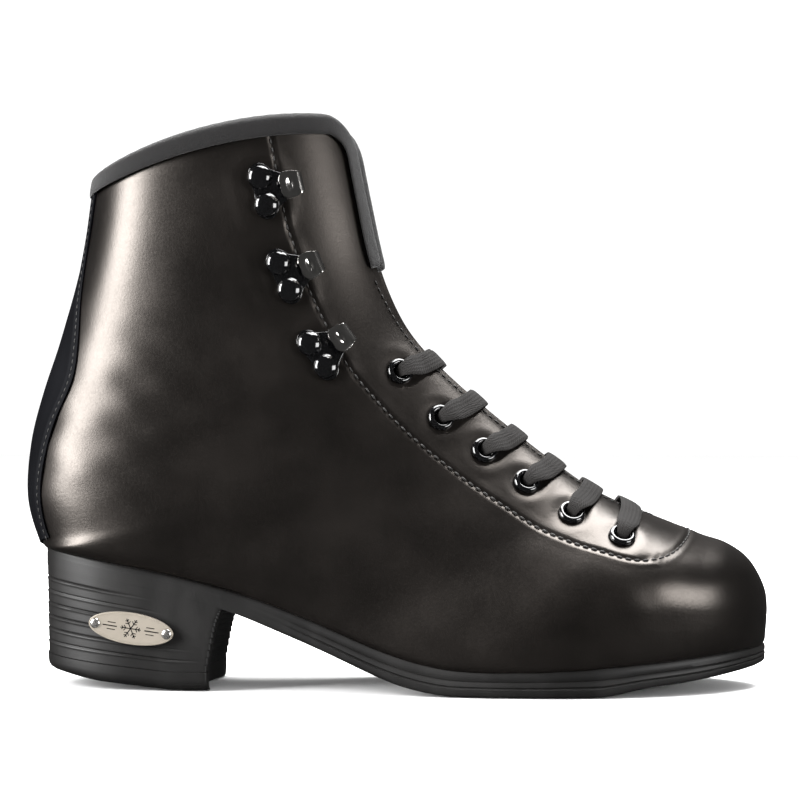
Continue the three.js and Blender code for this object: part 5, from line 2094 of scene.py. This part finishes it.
        def shape(turn: np.ndarray, level: np.ndarray) -> np.ndarray:
            """Places the heel block's points."""
            down = level / levels
            breast = self.breast_top + (self.breast_bottom - self.breast_top) * down**0.6
            points = np.empty((len(turn), 3))
            for step in np.unique(level):
                here = level == step
                at = float(step) / levels
                key = turn[here]
                front = np.full(len(key), breast[here][0])
                ring = self._heel_ring(key, front, np.full(len(key), 0.45 + 0.6 * at))
                top = self.underside(ring[:, 0]) + 0.25
                low = self.lift + 0.15 + self._rise(ring[:, 0])
                z = top + (low - top) * at
                cut = self._grooves(1 - at, ring[:, 0])
                centre = np.array([-95.0, 0.0])
                inward = unit(centre - ring)
                points[here] = np.column_stack([ring + inward * cut[:, None], z])
            return points

        piece = drum("rubber_heel", count, levels, shape)
        smooth(piece, 40)
        self.finishes.dress(piece, "sole_rubber")
        settle(piece, "heel_block")

    def build_lift(self) -> None:
        """The wearing layer, rounded at its edge and bevelled at the back."""
        profile = [  # height, inset
            (7.0, 1.0), (6.8, 0.7), (6.0, 0.72), (4.0, 0.8), (2.4, 1.0), (1.2, 1.6), (0.4, 2.5), (0.0, 3.8),
        ]

        def shape(turn: np.ndarray, level: np.ndarray) -> np.ndarray:
            """Places the lift's points."""
            points = np.empty((len(turn), 3))
            for step in np.unique(level):
                here = level == step
                z, inset = profile[int(step)]
                key = turn[here]
                ring = self._heel_ring(key, np.full(len(key), self.breast_bottom), np.full(len(key), inset))
                rear = 1 - smoothstep(-136, -112, ring[:, 0])
                lifted = self._rise(ring[:, 0]) + 0.06 * (7 - z) * rear * (7 - z) / 3
                points[here] = np.column_stack([ring, z + lifted])
            return points

        piece = drum("heel_wear_layer", 200, len(profile) - 1, shape)
        smooth(piece, 40)
        self.finishes.dress(piece, "sole_rubber")
        settle(piece, "heel_lift")

    def build_footbed(self) -> None:
        """The padded footbed, dished under the heel and rounded at its edge."""
        profile = [(5.7, 9.6), (6.1, 8.9), (7.2, 8.6), (8.3, 8.8), (8.8, 9.6), (8.9, 11.0)]

        def shape(u: np.ndarray, v: np.ndarray, level: np.ndarray) -> np.ndarray:
            """Places the footbed's points."""
            rise, inset = np.array(profile)[level.astype(int)].T
            plan = self._plan(u, v, inset)
            middle = 1 - (2 * v - 1) ** 2
            dish = 0.7 * middle * np.exp(-(((plan[:, 0] + 100) / 30) ** 2)) * (level >= 4)
            return np.column_stack([plan, self.last.sole_edge(plan[:, 0]) + rise - dish])

        piece = stacked("padded_footbed", 70, 12, len(profile) - 1, shape)
        smooth(piece, 60)
        self.finishes.dress(piece, "lining_cloth")
        settle(piece, "footbed")

    def _badge_frame(self) -> Matrix:
        """A frame on the heel's lateral wall: +Z out of it, +X along the badge.

        Returns:
            The frame.
        """
        x, z = self.badge_at
        station = np.linspace(HEEL, 14, 800)
        edge = self.last.edge(station, LATERAL)
        k = int(np.argmin(np.abs(edge[:, 0] - x)))
        out = -np.array([edge[k, 2], edge[k, 3], 0])
        up = np.array([0, 0, 1.0])
        frame = frame_of(np.cross(up, out), up, out, np.array([x, edge[k, 1], z]))
        return frame @ Matrix.Rotation(math.radians(self.badge_tilt), 4, "Z")

    def build_badge(self) -> None:
        """A plain steel oval with a rim line and a six-armed star, held by two pins."""
        long, high, thick = self.badge_size
        frame, seat = self._badge_frame(), GAP + 0.4
        deselect()
        bpy.ops.mesh.primitive_circle_add(vertices=96, radius=1, fill_type="NGON")
        plate = bpy.context.object
        flat = coordinates(plate)
        oval = flat[:, 0] * long / 2, flat[:, 1] * high / 2, np.full(len(flat), seat)
        place(plate, np.column_stack(oval))
        in_edit(
            plate,
            lambda: bpy.ops.mesh.extrude_region_move(TRANSFORM_OT_translate={"value": (0, 0, thick - 0.25)}),
            lambda: bpy.ops.mesh.inset(thickness=0.3, depth=0.22),
            lambda: bpy.ops.mesh.inset(thickness=0.45, depth=0.0),
            lambda: bpy.ops.mesh.inset(thickness=0.12, depth=-0.1),
            lambda: bpy.ops.mesh.inset(thickness=0.12, depth=0.12),
            lambda: bpy.ops.mesh.select_all(action="SELECT"),
            lambda: bpy.ops.mesh.normals_make_consistent(inside=False),
        )
        piece = copied(plate, "oval_badge", frame)
        discard(plate)
        smooth(piece, 30)
        self.finishes.dress(piece, "badge_plate")
        settle(piece, "heel_badge")
        self._build_star(frame, seat + thick)
        head = [(1.75, 2.35), (1.9, 2.6), (1.5, 3.05), (0.8, 3.25), (0, 3.3)]
        pin = turned("pin", [(0, -5), (1, -5), (1, 2.4), *head], 20)
        for k, x in enumerate((-14, 14)):
            piece = copied(pin, f"badge_rivet_{k + 1}", frame @ Matrix.Translation((x, 0, -0.35)))
            smooth(piece, 50)
            self.finishes.dress(piece, "steel")
            settle(piece, f"badge_pin_{k + 1}")
        discard(pin)

    def _build_star(self, frame: Matrix, top: float) -> None:
        """A snow crystal in black enamel: six arms with two pairs of twigs, and a bar at each side.

        Args:
            frame: the badge's frame.
            top: height of the badge's face.
        """
        deselect()
        bars = []
        for k in range(6):
            turn = math.radians(60 * k)
            bars.append((2 * math.cos(turn), 2 * math.sin(turn), turn, 4.0, 0.36))
            for reach, size in ((1.9, 1.3), (3.0, 0.9)):
                for lean in (-1, 1):
                    way = turn + lean * math.radians(55)
                    x = reach * math.cos(turn) + size / 2 * math.cos(way)
                    y = reach * math.sin(turn) + size / 2 * math.sin(way)
                    bars.append((x, y, way, size, 0.3))
        for side in (-1, 1):
            bars.append((side * 8.2, 0.0, 0.0, 5.6, 0.4))
            for lift in (-1, 1):
                bars.append((side * 7.6, lift * 1.3, 0.0, 3.2, 0.3))
        made = []
        for x, y, turn, long, wide in bars:
            deselect()
            bpy.ops.mesh.primitive_cube_add(
                size=1, location=(x, y, top), rotation=(0, 0, turn), scale=(long, wide, 0.16)
            )
            made.append(bpy.context.object)
            in_edit(made[-1], lambda: bpy.ops.mesh.bevel(offset=0.05, segments=1, affect="EDGES"))
        deselect()
        for piece in made:
            piece.select_set(True)
        bpy.context.view_layer.objects.active = made[0]
        bpy.ops.object.join()
        joined = bpy.context.object
        bpy.ops.object.transform_apply(location=True, rotation=True, scale=True)
        piece = copied(joined, "badge_crystal", frame)
        discard(joined)
        self.finishes.dress(piece, "black_enamel")
        settle(piece)

    def build(self) -> None:
        """Builds everything under the upper."""
        self.build_outsole()
        self.build_heel()
        self.build_lift()
        self.build_footbed()
        self.build_badge()


# ------------------------------------------------------------------ the studio
@dataclass
class Studio:
    """A pale floor, soft lights and the camera."""

    target: tuple[float, float, float] = (0.0018, 0.0012, 0.110)
    distance: float = 0.950
    turn: float = 3.5
    lens: float = 109.9
    surround: float = 0.05  # how bright the white surround is in a reflection

    def build_camera(self) -> None:
        """A level camera on the boot's lateral side, a little towards its toe."""
        data = bpy.data.cameras.new("camera")
        data.lens, data.sensor_width, data.clip_start = self.lens, 36, 0.05
        camera = bpy.data.objects.new("camera", data)
        turn = math.radians(self.turn)
        offset = Vector((math.sin(turn), -math.cos(turn), 0)) * self.distance
        camera.location = Vector(self.target) + offset
        camera.rotation_euler = (math.pi / 2, 0, turn)
        bpy.context.scene.collection.objects.link(camera)
        bpy.context.scene.camera = camera

    def _light(self, name: str, spot: Sequence[float], size: tuple[float, float], power: float) -> None:
        """A soft rectangular light that faces the boot.

        Args:
            name: its name.
            spot: where it stands.
            size: its width and height in metres.
            power: in watts.
        """
        data = bpy.data.lights.new(name, "AREA")
        data.shape, data.size, data.size_y, data.energy = "RECTANGLE", *size, power
        light = bpy.data.objects.new(name, data)
        light.location = spot
        aim = Vector(self.target) - Vector(spot)
        light.rotation_euler = aim.to_track_quat("-Z", "Y").to_euler()
        bpy.context.scene.collection.objects.link(light)

    def build(self) -> None:
        """Builds the floor, the lights and the white surround."""
        bpy.ops.mesh.primitive_plane_add(size=8, location=(0, 0, -0.0005))
        floor = bpy.context.object
        floor.name = "floor"
        g = Graph("floor_paper")
        tone = g.noise(g.place(), 0.004, 2)
        floor.data.materials.append(
            g.finish(Base_Color=g.mix(tone, (0.9, 0.9, 0.9), (0.93, 0.93, 0.93)), Roughness=0.9)
        )
        floor.visible_glossy = False
        self._light("left_box", (-1.15, -0.55, 0.5), (0.55, 1.0), 42)
        self._light("right_box", (1.25, -0.75, 0.15), (0.7, 0.6), 15)
        self._light("top_box", (0.15, 0.2, 1.3), (1.3, 1.0), 70)
        world = bpy.data.worlds.new("surround")
        bpy.context.scene.world = world
        world.use_nodes = True
        tree, back = world.node_tree, world.node_tree.nodes["Background"]
        back.inputs["Color"].default_value = (1, 1, 1, 1)
        seen = tree.nodes.new("ShaderNodeLightPath")
        level = tree.nodes.new("ShaderNodeMapRange")
        level.inputs["To Min"].default_value, level.inputs["To Max"].default_value = 1.15, self.surround
        tree.links.new(seen.outputs["Is Glossy Ray"], level.inputs["Value"])
        tree.links.new(level.outputs["Result"], back.inputs["Strength"])
        world.cycles.sampling_method = "NONE"
        bpy.context.scene.view_settings.view_transform = "Standard"


HIDDEN = {
    "strip_leather": ("eyelet_strip_lateral", "eyelet_strip_medial"),
    "lining_cloth": ("ankle_pad_lateral", "ankle_pad_medial"),
    "fibreboard": ("toe_puff", "heel_counter", "insole_board"),
    "cork": ("cork_filler",),
    "steel": ("shank", "heel_screw"),
}


def main() -> None:
    """Builds the boot's looks around the frame, piece by piece."""
    logging.basicConfig(level=logging.INFO, format="%(message)s")
    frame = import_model()
    studio = Studio()
    studio.build_camera()
    finishes, last = Finishes(), Last()
    Lace(last, finishes).build()
    hardware = Hardware(last, finishes)
    hardware.build()
    Upper(last, finishes, Seams(last), hardware.frames).build()
    Tongue(last, finishes).build()
    Bottom(last, finishes).build()
    for name, nodes in HIDDEN.items():
        for node in nodes:
            finishes.repaint(frame["nodes"][node], name)
    studio.build()
    deselect()
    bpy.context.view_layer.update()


if __name__ == "__main__":
    main()
